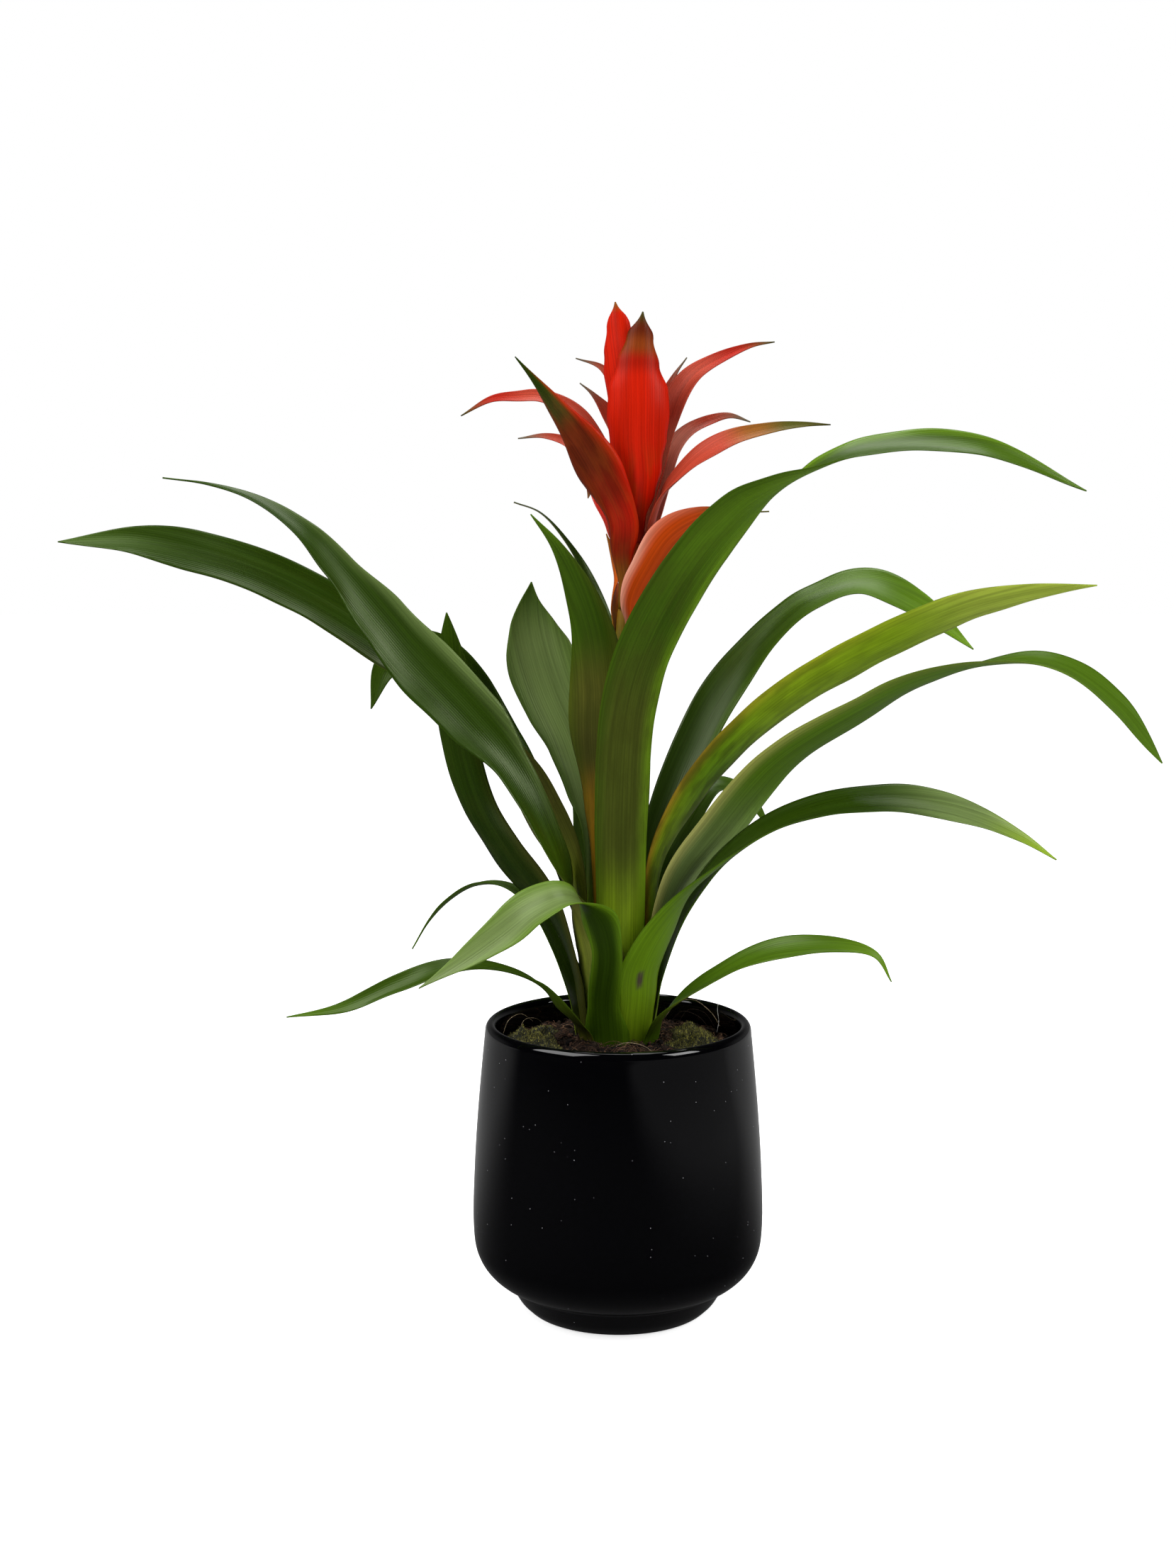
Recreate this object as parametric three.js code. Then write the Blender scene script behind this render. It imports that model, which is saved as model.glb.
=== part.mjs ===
// A potted guzmania: a rosette of strap leaves round one stalk that carries a head of red bracts, planted in a
// round glazed pot. Millimetres, +Z up, seen from the front along +Y. The origin is the centre of the pot's foot.
import * as THREE from "three";
import { mergeVertices } from "three/addons/utils/BufferGeometryUtils.js";

const MERGE = 1e-3;
const GAP = 0.3;

// Pot: radius and height along the outside and, from the lip down, along the inside
const TURNS = 40;
const POT_HEIGHT = 147;
const FOOT_RADIUS = 41;
const LIP_START = 143;
const LIP_OUTER = 66.2;
const LIP_INNER = 60.2;
const POT_FLOOR = 9;
const FOOT_EDGE = [[45, 1.2], [49.5, 5.5], [53.4, 12], [54.8, 14.4]];
const BELLY = [[62, 18.5], [67.4, 24], [71.2, 32], [72.6, 45], [71.8, 75], [70.2, 100], [68, 125],
  [LIP_OUTER, LIP_START]];
const BELLY_POINTS = 16;
const LIP_POINTS = 5;
const INSIDE = [[LIP_INNER, LIP_START], [62, 125], [64.4, 100], [66, 72], [66, 47], [62.5, 31],
  [53, 18], [38, POT_FLOOR + 1]];

// Soil
const SOIL_EDGE = 133;
const SOIL_EDGE_RADIUS = 61;
const SOIL_TOP = 139;
const SOIL_STEPS = 8;
const WALL_GAP = 0.45;
const HOLE_RADIUS = 22.5;
const HOLE_FLOOR = 123;
const LUMP = 1.2;
const WAVES = [[0.21, 0.13, 0, 1], [-0.24, 0.17, 2, 1], [0.33, 0, 1, 0.5]];

// Moss: each cushion lies from one bearing to another, over steps of the soil's surface counted from the wall
const MOSS_HEIGHT = 6;
const MOSS_EDGE = 0.7;
const MOSS_GAP = 0.4;
const TUFTS = 0.25;
const TUFTS_ALONG = 0.5;
const TUFTS_ACROSS = 0.45;
const MOSS = {
  moss_left: { from: 153, to: 225, outer: 1, inner: 6 },
  moss_right: { from: -36, to: 27, outer: 2, inner: 7 },
  moss_behind: { from: 63, to: 117, outer: 1, inner: 6 },
};

// Stem
const STEM_FOOT = HOLE_FLOOR + GAP;
const CORE_RADIUS = 6;
const CORE_TOP = 175;
const SCAPE_RADIUS = 4.6;
const SCAPE_START = 230;
const SCAPE_TOP = 432;
const SCAPE_ROUNDING = 4;
const SCAPE_STEP = 28;
const STEM_TURNS = 16;
const LEAN = 9;
const LEAN_FROM = 290;
const LEAN_TO = 420;

// Sheaths of the leaves: rings of them stand round the stem and flare upwards
const SHEATH_FOOT = 127;
const SHEATH_STEP = 15;
const INNER_RING = 7;
const RING_STEP = 1.15;
const FLARE_HEIGHT = 62;
const FLARE = 0.58;
const FLARE_POWER = 1.3;

// Feet of the bracts: each starts on the stalk at its own height
const BRACT_FOOT_GAP = 0.7;
const BRACT_SPREAD = 0.22;
const BRACT_SHEATH = 12;

// Blades: the clasp of a sheath ends at its top times CLASP_END plus CLASP_MORE of the whole length
const CURVE_STEPS = 200;
const CLASP_END = 1.6;
const CLASP_MORE = 0.05;
const WIDEST_WRAP = THREE.MathUtils.degToRad(130);
const STRIPS = 4;
const TIP_WIDTH = 1.2;
const MOST_STEPS = 20;
const LEAF = { thick: 0.8, step: 16, channel: 50, tip: 0.3, tipPower: 1.5 };
const BRACT = { thick: 0.7, step: 9, channel: 60, tip: 0.5, tipPower: 1.3 };

const FINISH = {
  pot: { color: 0x0b0b0d, roughness: 0.15 },
  soil: { color: 0x2c1c14, roughness: 0.95 },
  stem: { color: 0x7d8a2a, roughness: 0.6 },
  moss: { color: 0x6d7a2c, roughness: 0.9 },
  leaf: { color: 0x4f7d1e, roughness: 0.4 },
  bract: { color: 0xd8391a, roughness: 0.4 },
};

const UP = new THREE.Vector3(0, 0, 1);
const vector = (p) => new THREE.Vector3(...p);
const mix = THREE.MathUtils.lerp;
const smooth = THREE.MathUtils.smoothstep;

// Foliage leaves. bearing says where the sheath stands round the stem, in degrees from +X towards +Y. ring counts
// the sheaths outwards. top is the height at which the leaf leaves its sheath. blade holds points of the midrib
// after that. width is spread evenly over the length, and so is upper, the way the upper face looks.
const LEAVES = {
  leaf_front_tall: {
    bearing: -87, ring: 4, top: 205, sheath: 22, width: [25, 27, 29, 28, 26, 24], tip: 0.3,
    blade: [[1, -25, 254], [4, -32, 303], [12, -38, 333], [33, -46, 372], [58, -52, 401], [84, -56, 416],
      [111, -58, 427], [163, -58, 429], [213, -58, 409]],
    upper: [[0, 1, 0.1], [-0.2, 1, 0.2], [-0.4, 1, 0.5], [-0.3, -0.1, 1], [0, -0.7, 0.8], [0.2, -0.9, 0.5]],
  },
  leaf_right_hooked: {
    bearing: 38, ring: 2, top: 200, sheath: 16, width: [16, 22, 24, 27, 25], tip: 0.2,
    blade: [[18, 16, 228], [27, 21, 255], [38, 28, 281], [53, 35, 308], [76, 40, 335], [98, 42, 353],
      [124, 42, 361], [149, 38, 352], [178, 30, 330]],
    upper: [[-0.5, -1, 0.2], [-0.5, -0.4, 0.8], [0, -0.8, 0.8]],
  },
  leaf_right_pale: {
    bearing: -13, ring: 3, top: 195, sheath: 13, width: [17, 24, 24, 22, 18], tip: 0.22,
    blade: [[20, -7, 228], [32, -8, 254], [51, -8, 280], [79, -9, 306], [118, -10, 330], [164, -12, 351],
      [198, -12, 360], [229, -14, 364]],
    upper: [[-0.5, 0.8, 0.5], [-0.3, 1, 0.6], [0, 0.9, 0.7]],
  },
  leaf_right_long: {
    bearing: -14, ring: 5, top: 185, sheath: 20, width: [24, 28, 26, 24, 28], tip: 0.15, channel: 32,
    blade: [[31, -12, 220], [48, -16, 243], [76, -22, 278], [110, -26, 301], [144, -29, 319], [176, -30, 327],
      [207, -30, 327], [236, -30, 308], [259, -30, 280]],
    upper: [[-0.5, 0.9, 0.4], [-0.3, 0.6, 0.7], [-0.1, 0.4, 1], [0.4, -0.4, 1], [0.7, -0.8, 0.4]],
  },
  leaf_right_low: {
    bearing: -52, ring: 7, top: 178, sheath: 24, width: [28, 30, 26, 26, 20], tip: 0.3,
    blade: [[32, -24, 213], [51, -30, 233], [68, -34, 247], [98, -38, 259], [130, -38, 262], [162, -36, 257],
      [191, -34, 245], [209, -34, 234]],
    upper: [[-0.5, 0, 0.8], [0, -0.3, 1], [0.2, -0.55, 0.9], [0.3, -0.8, 0.8]],
  },
  leaf_right_short: {
    bearing: -38, ring: 11, top: 140, sheath: 13, width: [13, 16, 14, 12, 8], tip: 0.35,
    blade: [[23, -26, 157], [45, -34, 176], [72, -42, 191], [102, -48, 195], [121, -50, 191], [129, -50, 178]],
    upper: [[-0.3, -0.3, 1], [0, -0.7, 0.7], [0.3, -0.8, 0.5]],
  },
  leaf_right_sheath: {
    bearing: 14, ring: 8, top: 168, sheath: 18, width: [18, 16, 15, 14, 10], tip: 0.35,
    blade: [[30, 14, 190], [42, 24, 208], [58, 36, 224], [80, 46, 236], [105, 54, 242], [126, 60, 244]],
  },
  leaf_right_behind: {
    bearing: 55, ring: 6, top: 190, sheath: 20, width: [22, 20, 18, 18, 14], tip: 0.3,
    blade: [[24, 24, 218], [34, 32, 240], [48, 44, 258], [62, 52, 256], [73, 57, 245], [79, 58, 234]],
    upper: [[-0.4, -0.5, 0.8], [0, -0.7, 0.7]],
  },
  leaf_left_glossy: {
    bearing: -125, ring: 6, top: 186, sheath: 29, width: [31, 27, 19, 20, 31, 33, 27, 18, 14, 11, 8], tip: 0.2,
    blade: [[-24, -17, 215], [-33, -18, 238], [-43, -18, 260], [-56, -16, 282], [-74, -14, 303], [-100, -12, 330],
      [-115, -12, 348], [-137, -12, 374], [-152, -12, 390], [-175, -12, 405], [-197, -12, 412], [-218, -12, 415]],
    upper: [[0.6, -0.6, 0.6], [0.3, -1, 0.3], [0.3, -1, 0.4], [0, -0.5, 1], [0, 0, 1]],
  },
  leaf_left_far: {
    bearing: 174, ring: 3, top: 195, sheath: 20, width: [20, 28, 26, 26, 25, 23, 19], tip: 0.16,
    blade: [[-22, 1, 215], [-30, 1, 234], [-39, 2, 252], [-49, 3, 271], [-68, 5, 294], [-95, 8, 319],
      [-133, 12, 346], [-170, 13, 366], [-202, 14, 377], [-236, 14, 384], [-275, 14, 384]],
    upper: [[0.5, 0.8, 0.4], [0.4, 0.4, 0.9], [0.2, -1, 0.6], [0, -1, 0.6], [0, -0.9, 0.5], [0, -0.9, 0.5]],
  },
  leaf_left_hanging: {
    bearing: 136, ring: 5, top: 188, sheath: 16, width: [15, 15, 18, 24, 26, 26, 22], tip: 0.2,
    blade: [[-26, 20, 218], [-38, 26, 245], [-51, 32, 273], [-72, 38, 303], [-86, 40, 320], [-100, 38, 328],
      [-116, 33, 321], [-124, 30, 300]],
    upper: [[0.5, -0.5, 0.5], [0.3, -0.4, 0.8], [-0.2, -0.9, 0.4], [0, -1, 0.2]],
  },
  leaf_left_dark: {
    bearing: 181, ring: 8, top: 172, sheath: 23, width: [26, 22, 19, 20, 20], tip: 0.16,
    blade: [[-36, -3, 206], [-56, 4, 231], [-69, 14, 251], [-77, 19, 274], [-81, 22, 295], [-83, 22, 320],
      [-85, 20, 349]],
    upper: [[0.3, 1, 0.2], [0.1, 1, 0.1]],
  },
  leaf_left_broad: {
    bearing: 160, ring: 2, top: 200, sheath: 13, width: [13, 16, 21, 25, 27, 33, 36, 31, 22], tip: 0.14,
    blade: [[-12, 12, 242], [-16, 15, 262], [-23, 18, 285], [-34, 22, 310], [-42, 24, 336], [-44, 24, 352],
      [-43, 22, 364]],
    upper: [[0.3, -1, 0], [0.2, -1, 0]],
  },
  leaf_left_upright: {
    bearing: -135, ring: 0, top: 210, sheath: 11, width: [12, 24, 32, 29, 18], tip: 0.4,
    blade: [[-8, -9, 260], [-10, -10, 289], [-10, -13, 315], [-13, -17, 341], [-20, -21, 363], [-30, -25, 383],
      [-42, -28, 398]],
    upper: [[0.2, 1, 0], [0.2, 1, 0.2]],
  },
  leaf_left_narrow: {
    bearing: 105, ring: 1, top: 200, sheath: 11, width: [12, 14, 13, 12, 8], tip: 0.4,
    blade: [[-2, 22, 240], [-1, 27, 275], [-2, 27, 313], [-5, 27, 335], [-13, 29, 361], [-26, 32, 384],
      [-39, 35, 398], [-52, 36, 403]],
  },
  leaf_left_small: {
    bearing: 158, ring: 11, top: 158, sheath: 14, width: [16, 13, 12, 11, 8], tip: 0.35,
    blade: [[-32, 10, 183], [-43, 12, 202], [-56, 16, 212], [-72, 24, 211], [-86, 30, 202], [-96, 34, 191],
      [-105, 36, 176]],
  },
  leaf_left_lowest: {
    bearing: -148, ring: 10, top: 142, sheath: 14, width: [14, 12, 12, 11, 7], tip: 0.35,
    upper: [[0, 0, 1], [0, -0.8, 0.7], [0, -0.9, 0.5]],
    blade: [[-28, -26, 159], [-38, -28, 171], [-56, -29, 179], [-81, -31, 181], [-106, -33, 173],
      [-134, -36, 162], [-160, -38, 158]],
  },
  leaf_front_folded: {
    bearing: -111, ring: 9, top: 160, sheath: 25, width: [17, 15, 22, 26, 24, 16], tip: 0.45,
    blade: [[-6, -34, 190], [-12, -42, 209], [-24, -47, 218], [-40, -48, 213], [-57, -46, 200], [-76, -44, 186],
      [-96, -42, 173]],
    upper: [[-0.1, 0.6, 1], [0, -0.5, 0.8], [0, -0.9, 0.5], [0, -0.8, 0.6]],
  },
  leaf_back_tall: {
    bearing: 95, ring: 4, top: 200, sheath: 16, width: [26, 28, 28, 26, 20],
    blade: [[2, 28, 250], [3, 42, 298], [4, 75, 325], [4, 120, 328], [3, 170, 312], [2, 215, 285]],
  },
  leaf_back_left: {
    bearing: 118, ring: 7, top: 182, sheath: 18, width: [20, 20, 22, 20, 14],
    blade: [[-15, 41, 228], [-15, 70, 258], [-20, 108, 276], [-27, 145, 272], [-31, 170, 250]],
  },
  leaf_back_right: {
    bearing: 76, ring: 9, top: 172, sheath: 18, width: [22, 20, 19, 17, 12],
    blade: [[16, 38, 212], [26, 58, 244], [38, 85, 272], [48, 115, 287], [56, 150, 282]],
  },
  leaf_back_low: {
    bearing: 100, channel: 40, ring: 10, top: 160, sheath: 20, width: [34, 28, 26, 24, 16],
    blade: [[-6, 42, 190], [-12, 80, 215], [-18, 125, 222], [-24, 170, 205], [-28, 200, 175]],
  },
};

// Bracts, given as the leaves are, but each starts at its own foot on the stalk.
const BRACTS = {
  bract_front_left: {
    bearing: -110, foot: 352, width: [7, 16, 24, 19, 12],
    blade: [[1, -12, 378], [1, -15, 395], [-8, -19, 415], [-18, -22, 432], [-29, -25, 446], [-39, -27, 459],
      [-49, -29, 471]],
    upper: [[0.3, 1, 0], [0.5, 1, 0.5]],
  },
  bract_lower_right: {
    bearing: -60, foot: 332, width: [9, 18, 22, 18, 10],
    blade: [[7, -11, 356], [15, -14, 373], [25, -14, 387], [38, -11, 395], [53, -9, 398], [72, -7, 399]],
    upper: [[-0.3, 1, 0.3], [-0.3, -0.2, 1]],
  },
  bract_lower_left: {
    bearing: 150, foot: 340, width: [9, 13, 14, 11, 5],
    blade: [[-2, 7, 367], [-3, 9, 378], [-6, 10, 388]],
    upper: [[0.5, 0.8, 0]],
  },
  bract_cone_front: {
    bearing: -88, foot: 384, width: [9, 17, 24, 30, 33, 32, 23, 14, 5], tip: 0.08, channel: 95,
    blade: [[10, -12, 415], [9, -14, 432], [9, -15, 450], [9, -13, 469], [10, -11, 483], [11, -9, 493]],
    upper: [[0, 1, 0]],
  },
  bract_cone_left: {
    bearing: -125, foot: 395, width: [8, 14, 19, 22, 24, 24, 20, 13, 4], tip: 0.06, channel: 80,
    blade: [[3, -7, 430], [3, -8, 450], [1, -7, 470], [-1, -5, 485], [-2, -3, 498]],
    upper: [[0.3, 1, 0]],
  },
  bract_cone_right: {
    bearing: 5, foot: 403, width: [9, 16, 18, 17, 11], tip: 0.4, channel: 130,
    blade: [[17, 0, 428], [17, 0, 446], [16, 0, 466], [13, 0, 486]],
    upper: [[-1, 0, 0]],
  },
  bract_cone_back: {
    bearing: 88, foot: 411, width: [5, 8, 10, 10, 7], tip: 0.4, channel: 90,
    blade: [[8, 9, 434], [8, 10, 450], [7, 10, 468], [7, 8, 482]],
    upper: [[0.1, -1, 0]],
  },
  bract_right_high: {
    bearing: 8, foot: 388, width: [5, 15, 18, 14, 9],
    blade: [[21, 3, 420], [24, 4, 438], [29, 6, 454], [35, 7, 463], [43, 8, 469], [63, 8, 478], [75, 8, 480]],
    upper: [[-0.5, -0.6, 0.6], [0, -1, 0.5]],
  },
  bract_right_long: {
    bearing: -30, foot: 372, width: [8, 15, 15, 12, 9],
    blade: [[21, -11, 406], [28, -13, 415], [40, -15, 426], [53, -16, 433], [71, -16, 438], [87, -16, 440],
      [100, -16, 440]],
    upper: [[-0.5, -0.6, 0.6], [0, -1, 0.5]],
  },
  bract_right_curled: {
    bearing: 38, foot: 366, width: [5, 13, 16, 13, 9],
    blade: [[22, 8, 412], [27, 10, 428], [34, 11, 437], [45, 12, 443], [54, 12, 445], [64, 12, 442]],
    upper: [[-0.5, -0.6, 0.6], [0, -1, 0.5]],
  },
  bract_right_small: {
    bearing: 50, foot: 380, width: [4, 9, 17, 13, 5],
    upper: [[-0.5, -0.8, 0.4]],
    blade: [[18, 12, 430], [21, 14, 448], [27, 15, 464], [33, 15, 473]],
  },
  bract_left_long: {
    bearing: 150, foot: 382, width: [5, 11, 13, 12, 8],
    blade: [[-7, 8, 425], [-16, 12, 440], [-26, 15, 449], [-39, 16, 454], [-49, 16, 454], [-62, 16, 453],
      [-77, 16, 445]],
    upper: [[0.5, -0.6, 0.6], [0, -1, 0.5]],
  },
  bract_left_curled: {
    bearing: 185, foot: 368, width: [4, 11, 12, 10, 6],
    blade: [[-9, 0, 410], [-16, 3, 421], [-24, 6, 431], [-36, 8, 435], [-49, 9, 434]],
    upper: [[0.5, -0.6, 0.6], [0, -1, 0.5]],
  },
  bract_left_high: {
    bearing: 118, foot: 374, width: [4, 7, 17, 16, 5],
    upper: [[0.3, -1, 0.2]],
    blade: [[3, 19, 432], [-5, 21, 446], [-13, 21, 456], [-19, 21, 461]],
  },
  bract_left_thin: {
    bearing: 100, foot: 392, width: [4, 6, 13, 11, 4],
    upper: [[0.4, -1, 0.2]],
    blade: [[5, 15, 430], [1, 18, 452], [-8, 21, 468], [-21, 22, 473]],
  },
  bract_back_right: {
    bearing: 60, foot: 350, width: [7, 14, 17, 14, 8],
    blade: [[15, 17, 375], [22, 28, 384], [30, 40, 386], [38, 50, 380]],
  },
  bract_back: {
    bearing: 115, foot: 360, width: [6, 13, 16, 13, 8],
    blade: [[-2, 21, 392], [-8, 34, 404], [-13, 52, 410], [-15, 68, 405]],
  },
};

// How far the stalk has leaned towards +X at a height.
function lean(z) {
  return LEAN * smooth(z, LEAN_FROM, LEAN_TO);
}

// A point at a bearing and radius round the stalk.
function roundStalk(bearing, radius, z) {
  const angle = THREE.MathUtils.degToRad(bearing);
  return new THREE.Vector3(lean(z) + radius * Math.cos(angle), radius * Math.sin(angle), z);
}

// The sheath of a leaf stands on its ring, and all rings flare by the same share.
function leafSheath({ bearing, ring, top }) {
  const flare = (z) => 1 + FLARE * ((z - SHEATH_FOOT) / FLARE_HEIGHT) ** FLARE_POWER;
  const steps = Math.round((top - SHEATH_FOOT) / SHEATH_STEP);
  return Array.from({ length: steps + 1 }, (_, i) => {
    const z = mix(SHEATH_FOOT, top, i / steps);
    return roundStalk(bearing, (INNER_RING + RING_STEP * ring) * flare(z), z);
  });
}

// The foot of a bract clasps the stalk and spreads from it evenly.
function bractSheath({ bearing, foot }) {
  return [0, 0.5, 1].map((part) => {
    const rise = part * BRACT_SHEATH;
    return roundStalk(bearing, SCAPE_RADIUS + BRACT_FOOT_GAP + BRACT_SPREAD * rise, foot + rise);
  });
}

// The value of an evenly spread list at a share of the way along, eased between its members.
function spread(values, share) {
  const place = share * (values.length - 1);
  const first = Math.min(Math.floor(place), values.length - 2);
  return mix(values[first], values[first + 1], smooth(place - first, 0, 1));
}

// One blade as a closed solid. Each ring across it is an arc: round the stalk at the sheath, a shallow channel
// further out. The upper and the lower face are the arc moved by half the thickness along its normals.
function bladeGeometry(plan, kind, sheath) {
  const spine = new THREE.CatmullRomCurve3([...sheath, ...plan.blade.map(vector)]);
  const inward = roundStalk(plan.bearing, -1, 0);
  const looks = new THREE.CatmullRomCurve3([inward, ...(plan.upper ?? [[0, 0, 1]]).map(vector)]);
  const lengths = spine.getLengths(CURVE_STEPS);
  const whole = lengths[CURVE_STEPS];
  const sheathEnd = Math.round((CURVE_STEPS * (sheath.length - 1)) / (spine.points.length - 1));
  const sheathShare = lengths[sheathEnd] / whole;
  const channel = THREE.MathUtils.degToRad(plan.channel ?? kind.channel);
  const tip = plan.tip ?? kind.tip;
  const tipPower = plan.tipPower ?? kind.tipPower;
  const steps = Math.min(Math.round(whole / kind.step), MOST_STEPS);
  const upper = [];
  const lower = [];
  for (let step = 0; step <= steps; step++) {
    const along = step / steps;
    const at = spine.getPointAt(along);
    const clasp = 1 - smooth(along, sheathShare, sheathShare * CLASP_END + CLASP_MORE);
    const radius = Math.hypot(at.x - lean(at.z), at.y);
    const course = spine.getTangentAt(along).lerp(UP, clasp).normalize();
    const out = Math.max(0, along - sheathShare) / (1 - sheathShare);
    const look = looks.getPoint(out);
    const face = look.addScaledVector(course, -look.dot(course)).normalize();
    const right = new THREE.Vector3().crossVectors(face, course);
    const taper = 1 - Math.max(0, (along - 1 + tip) / tip) ** tipPower;
    const onBlade = spread(plan.width, out);
    const opening = smooth(along, sheathShare / 2, sheathShare);
    const inSheath = mix(plan.sheath ?? plan.width[0], plan.width[0], opening);
    const full = Math.min(along < sheathShare ? inSheath : onBlade, WIDEST_WRAP * radius);
    const width = mix(TIP_WIDTH, full, taper);
    const wrap = mix(channel, width / radius, clasp);
    const bend = width / wrap;
    for (let strip = 0; strip <= STRIPS; strip++) {
      const turn = wrap * (strip / STRIPS - 0.5);
      const middle = at.clone().addScaledVector(right, bend * Math.sin(turn))
        .addScaledVector(face, bend * (1 - Math.cos(turn)));
      const normal = right.clone().multiplyScalar(-Math.sin(turn)).addScaledVector(face, Math.cos(turn));
      upper.push(middle.clone().addScaledVector(normal, kind.thick / 2));
      lower.push(middle.clone().addScaledVector(normal, -kind.thick / 2));
    }
  }
  return closedSheet(upper, lower, STRIPS + 1);
}

// Joins two sheets of points, row by row alike, into one closed surface that faces outwards.
function closedSheet(upper, lower, row) {
  const rows = upper.length / row;
  const under = upper.length;
  const faces = [];
  const quad = (a, b, c, d) => faces.push(a, c, b, a, d, c);
  for (let i = 0; i < rows - 1; i++) {
    for (let j = 0; j < row - 1; j++) {
      const a = i * row + j;
      quad(a, a + 1, a + row + 1, a + row);
      faces.push(under + a, under + a + 1, under + a + row + 1, under + a, under + a + row + 1, under + a + row);
    }
    const left = i * row;
    const right = left + row - 1;
    quad(left, left + row, under + left + row, under + left);
    quad(right, under + right, under + right + row, right + row);
  }
  for (let j = 0; j < row - 1; j++) {
    const end = (rows - 1) * row + j;
    quad(j, under + j, under + j + 1, j + 1);
    quad(end, end + 1, under + end + 1, under + end);
  }
  const geometry = new THREE.BufferGeometry().setFromPoints([...upper, ...lower]);
  geometry.setIndex(faces);
  geometry.computeVertexNormals();
  return geometry;
}

// Turns a profile of [radius, height] about the upright axis. It starts and ends on the axis.
function turned(profile, turns = TURNS) {
  const points = profile.map(([r, z]) => new THREE.Vector2(r, z));
  const lathe = new THREE.LatheGeometry(points, turns).rotateX(Math.PI / 2);
  lathe.deleteAttribute("normal");
  lathe.deleteAttribute("uv");
  return mergeVertices(lathe, MERGE);
}

function potGeometry() {
  const flat = ([r, z]) => new THREE.Vector3(r, 0, z);
  const belly = new THREE.CatmullRomCurve3([FOOT_EDGE.at(-1), ...BELLY].map(flat)).getPoints(BELLY_POINTS);
  const lip = [];
  for (let i = 1; i < LIP_POINTS; i++) {
    const angle = (Math.PI * i) / LIP_POINTS;
    const middle = (LIP_OUTER + LIP_INNER) / 2;
    lip.push([middle + ((LIP_OUTER - LIP_INNER) / 2) * Math.cos(angle),
      LIP_START + (POT_HEIGHT - LIP_START) * Math.sin(angle)]);
  }
  return turned([[0, 0], [FOOT_RADIUS, 0], ...FOOT_EDGE, ...belly.slice(1).map((p) => [p.x, p.z]), ...lip,
    ...INSIDE, [0, POT_FLOOR]]);
}

// Height of the soil at a point of its surface: a cone from the wall up to the plant with low lumps, which die out
// at both ends.
function ground(x, y) {
  const part = (SOIL_EDGE_RADIUS - Math.hypot(x, y)) / (SOIL_EDGE_RADIUS - HOLE_RADIUS);
  const waves = WAVES.reduce((sum, [byX, byY, shift, size]) => sum + size * Math.sin(byX * x + byY * y + shift), 0);
  return mix(SOIL_EDGE, SOIL_TOP, part) + LUMP * waves * 4 * part * (1 - part);
}

// Radius of a step of the soil's surface, counted from the wall inwards.
function soilRadius(step) {
  return mix(SOIL_EDGE_RADIUS, HOLE_RADIUS, step / SOIL_STEPS);
}

function soilGeometry() {
  const wall = INSIDE.filter(([, z]) => z < SOIL_EDGE).reverse().map(([r, z]) => [r - WALL_GAP, z + GAP]);
  const top = Array.from({ length: SOIL_STEPS + 1 }, (_, step) => [soilRadius(step), SOIL_EDGE + step / SOIL_STEPS]);
  const soil = turned([[0, POT_FLOOR + GAP], ...wall, ...top, [HOLE_RADIUS, HOLE_FLOOR], [0, HOLE_FLOOR]]);
  const place = soil.getAttribute("position");
  for (let i = 0; i < place.count; i++) {
    if (place.getZ(i) >= SOIL_EDGE) place.setZ(i, ground(place.getX(i), place.getY(i)));
  }
  return soil;
}

// A cushion of moss over some steps of the soil's surface, from one bearing to another. It thins out to its edges.
function mossGeometry({ from, to, outer, inner }) {
  const columns = (to - from) / (360 / TURNS);
  const rows = inner - outer;
  const upper = [];
  const lower = [];
  for (let i = 0; i <= columns; i++) {
    for (let j = 0; j <= rows; j++) {
      const foot = roundStalk(mix(from, to, i / columns), soilRadius(inner - j), 0);
      const base = ground(foot.x, foot.y) + MOSS_GAP;
      const dome = Math.sqrt(Math.sin((Math.PI * i) / columns) * Math.sin((Math.PI * j) / rows));
      const tufts = 1 + TUFTS * Math.sin(TUFTS_ALONG * foot.x) * Math.cos(TUFTS_ACROSS * foot.y);
      upper.push(new THREE.Vector3(foot.x, foot.y, base + MOSS_EDGE + MOSS_HEIGHT * dome * tufts));
      lower.push(new THREE.Vector3(foot.x, foot.y, base));
    }
  }
  return closedSheet(lower, upper, rows + 1);
}

function stemGeometry() {
  const profile = [[0, STEM_FOOT], [CORE_RADIUS, STEM_FOOT], [CORE_RADIUS, CORE_TOP], [SCAPE_RADIUS, SCAPE_START]];
  const shoulder = SCAPE_TOP - SCAPE_ROUNDING;
  for (let z = LEAN_FROM; z < shoulder; z += SCAPE_STEP) profile.push([SCAPE_RADIUS, z]);
  profile.push([SCAPE_RADIUS, shoulder], [SCAPE_RADIUS / 2, SCAPE_TOP], [0, SCAPE_TOP]);
  const stem = turned(profile, STEM_TURNS);
  const place = stem.getAttribute("position");
  for (let i = 0; i < place.count; i++) place.setX(i, place.getX(i) + lean(place.getZ(i)));
  return stem;
}

function named(name, geometry, finish) {
  const mesh = new THREE.Mesh(geometry, new THREE.MeshStandardMaterial(finish));
  mesh.name = name;
  return mesh;
}

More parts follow.
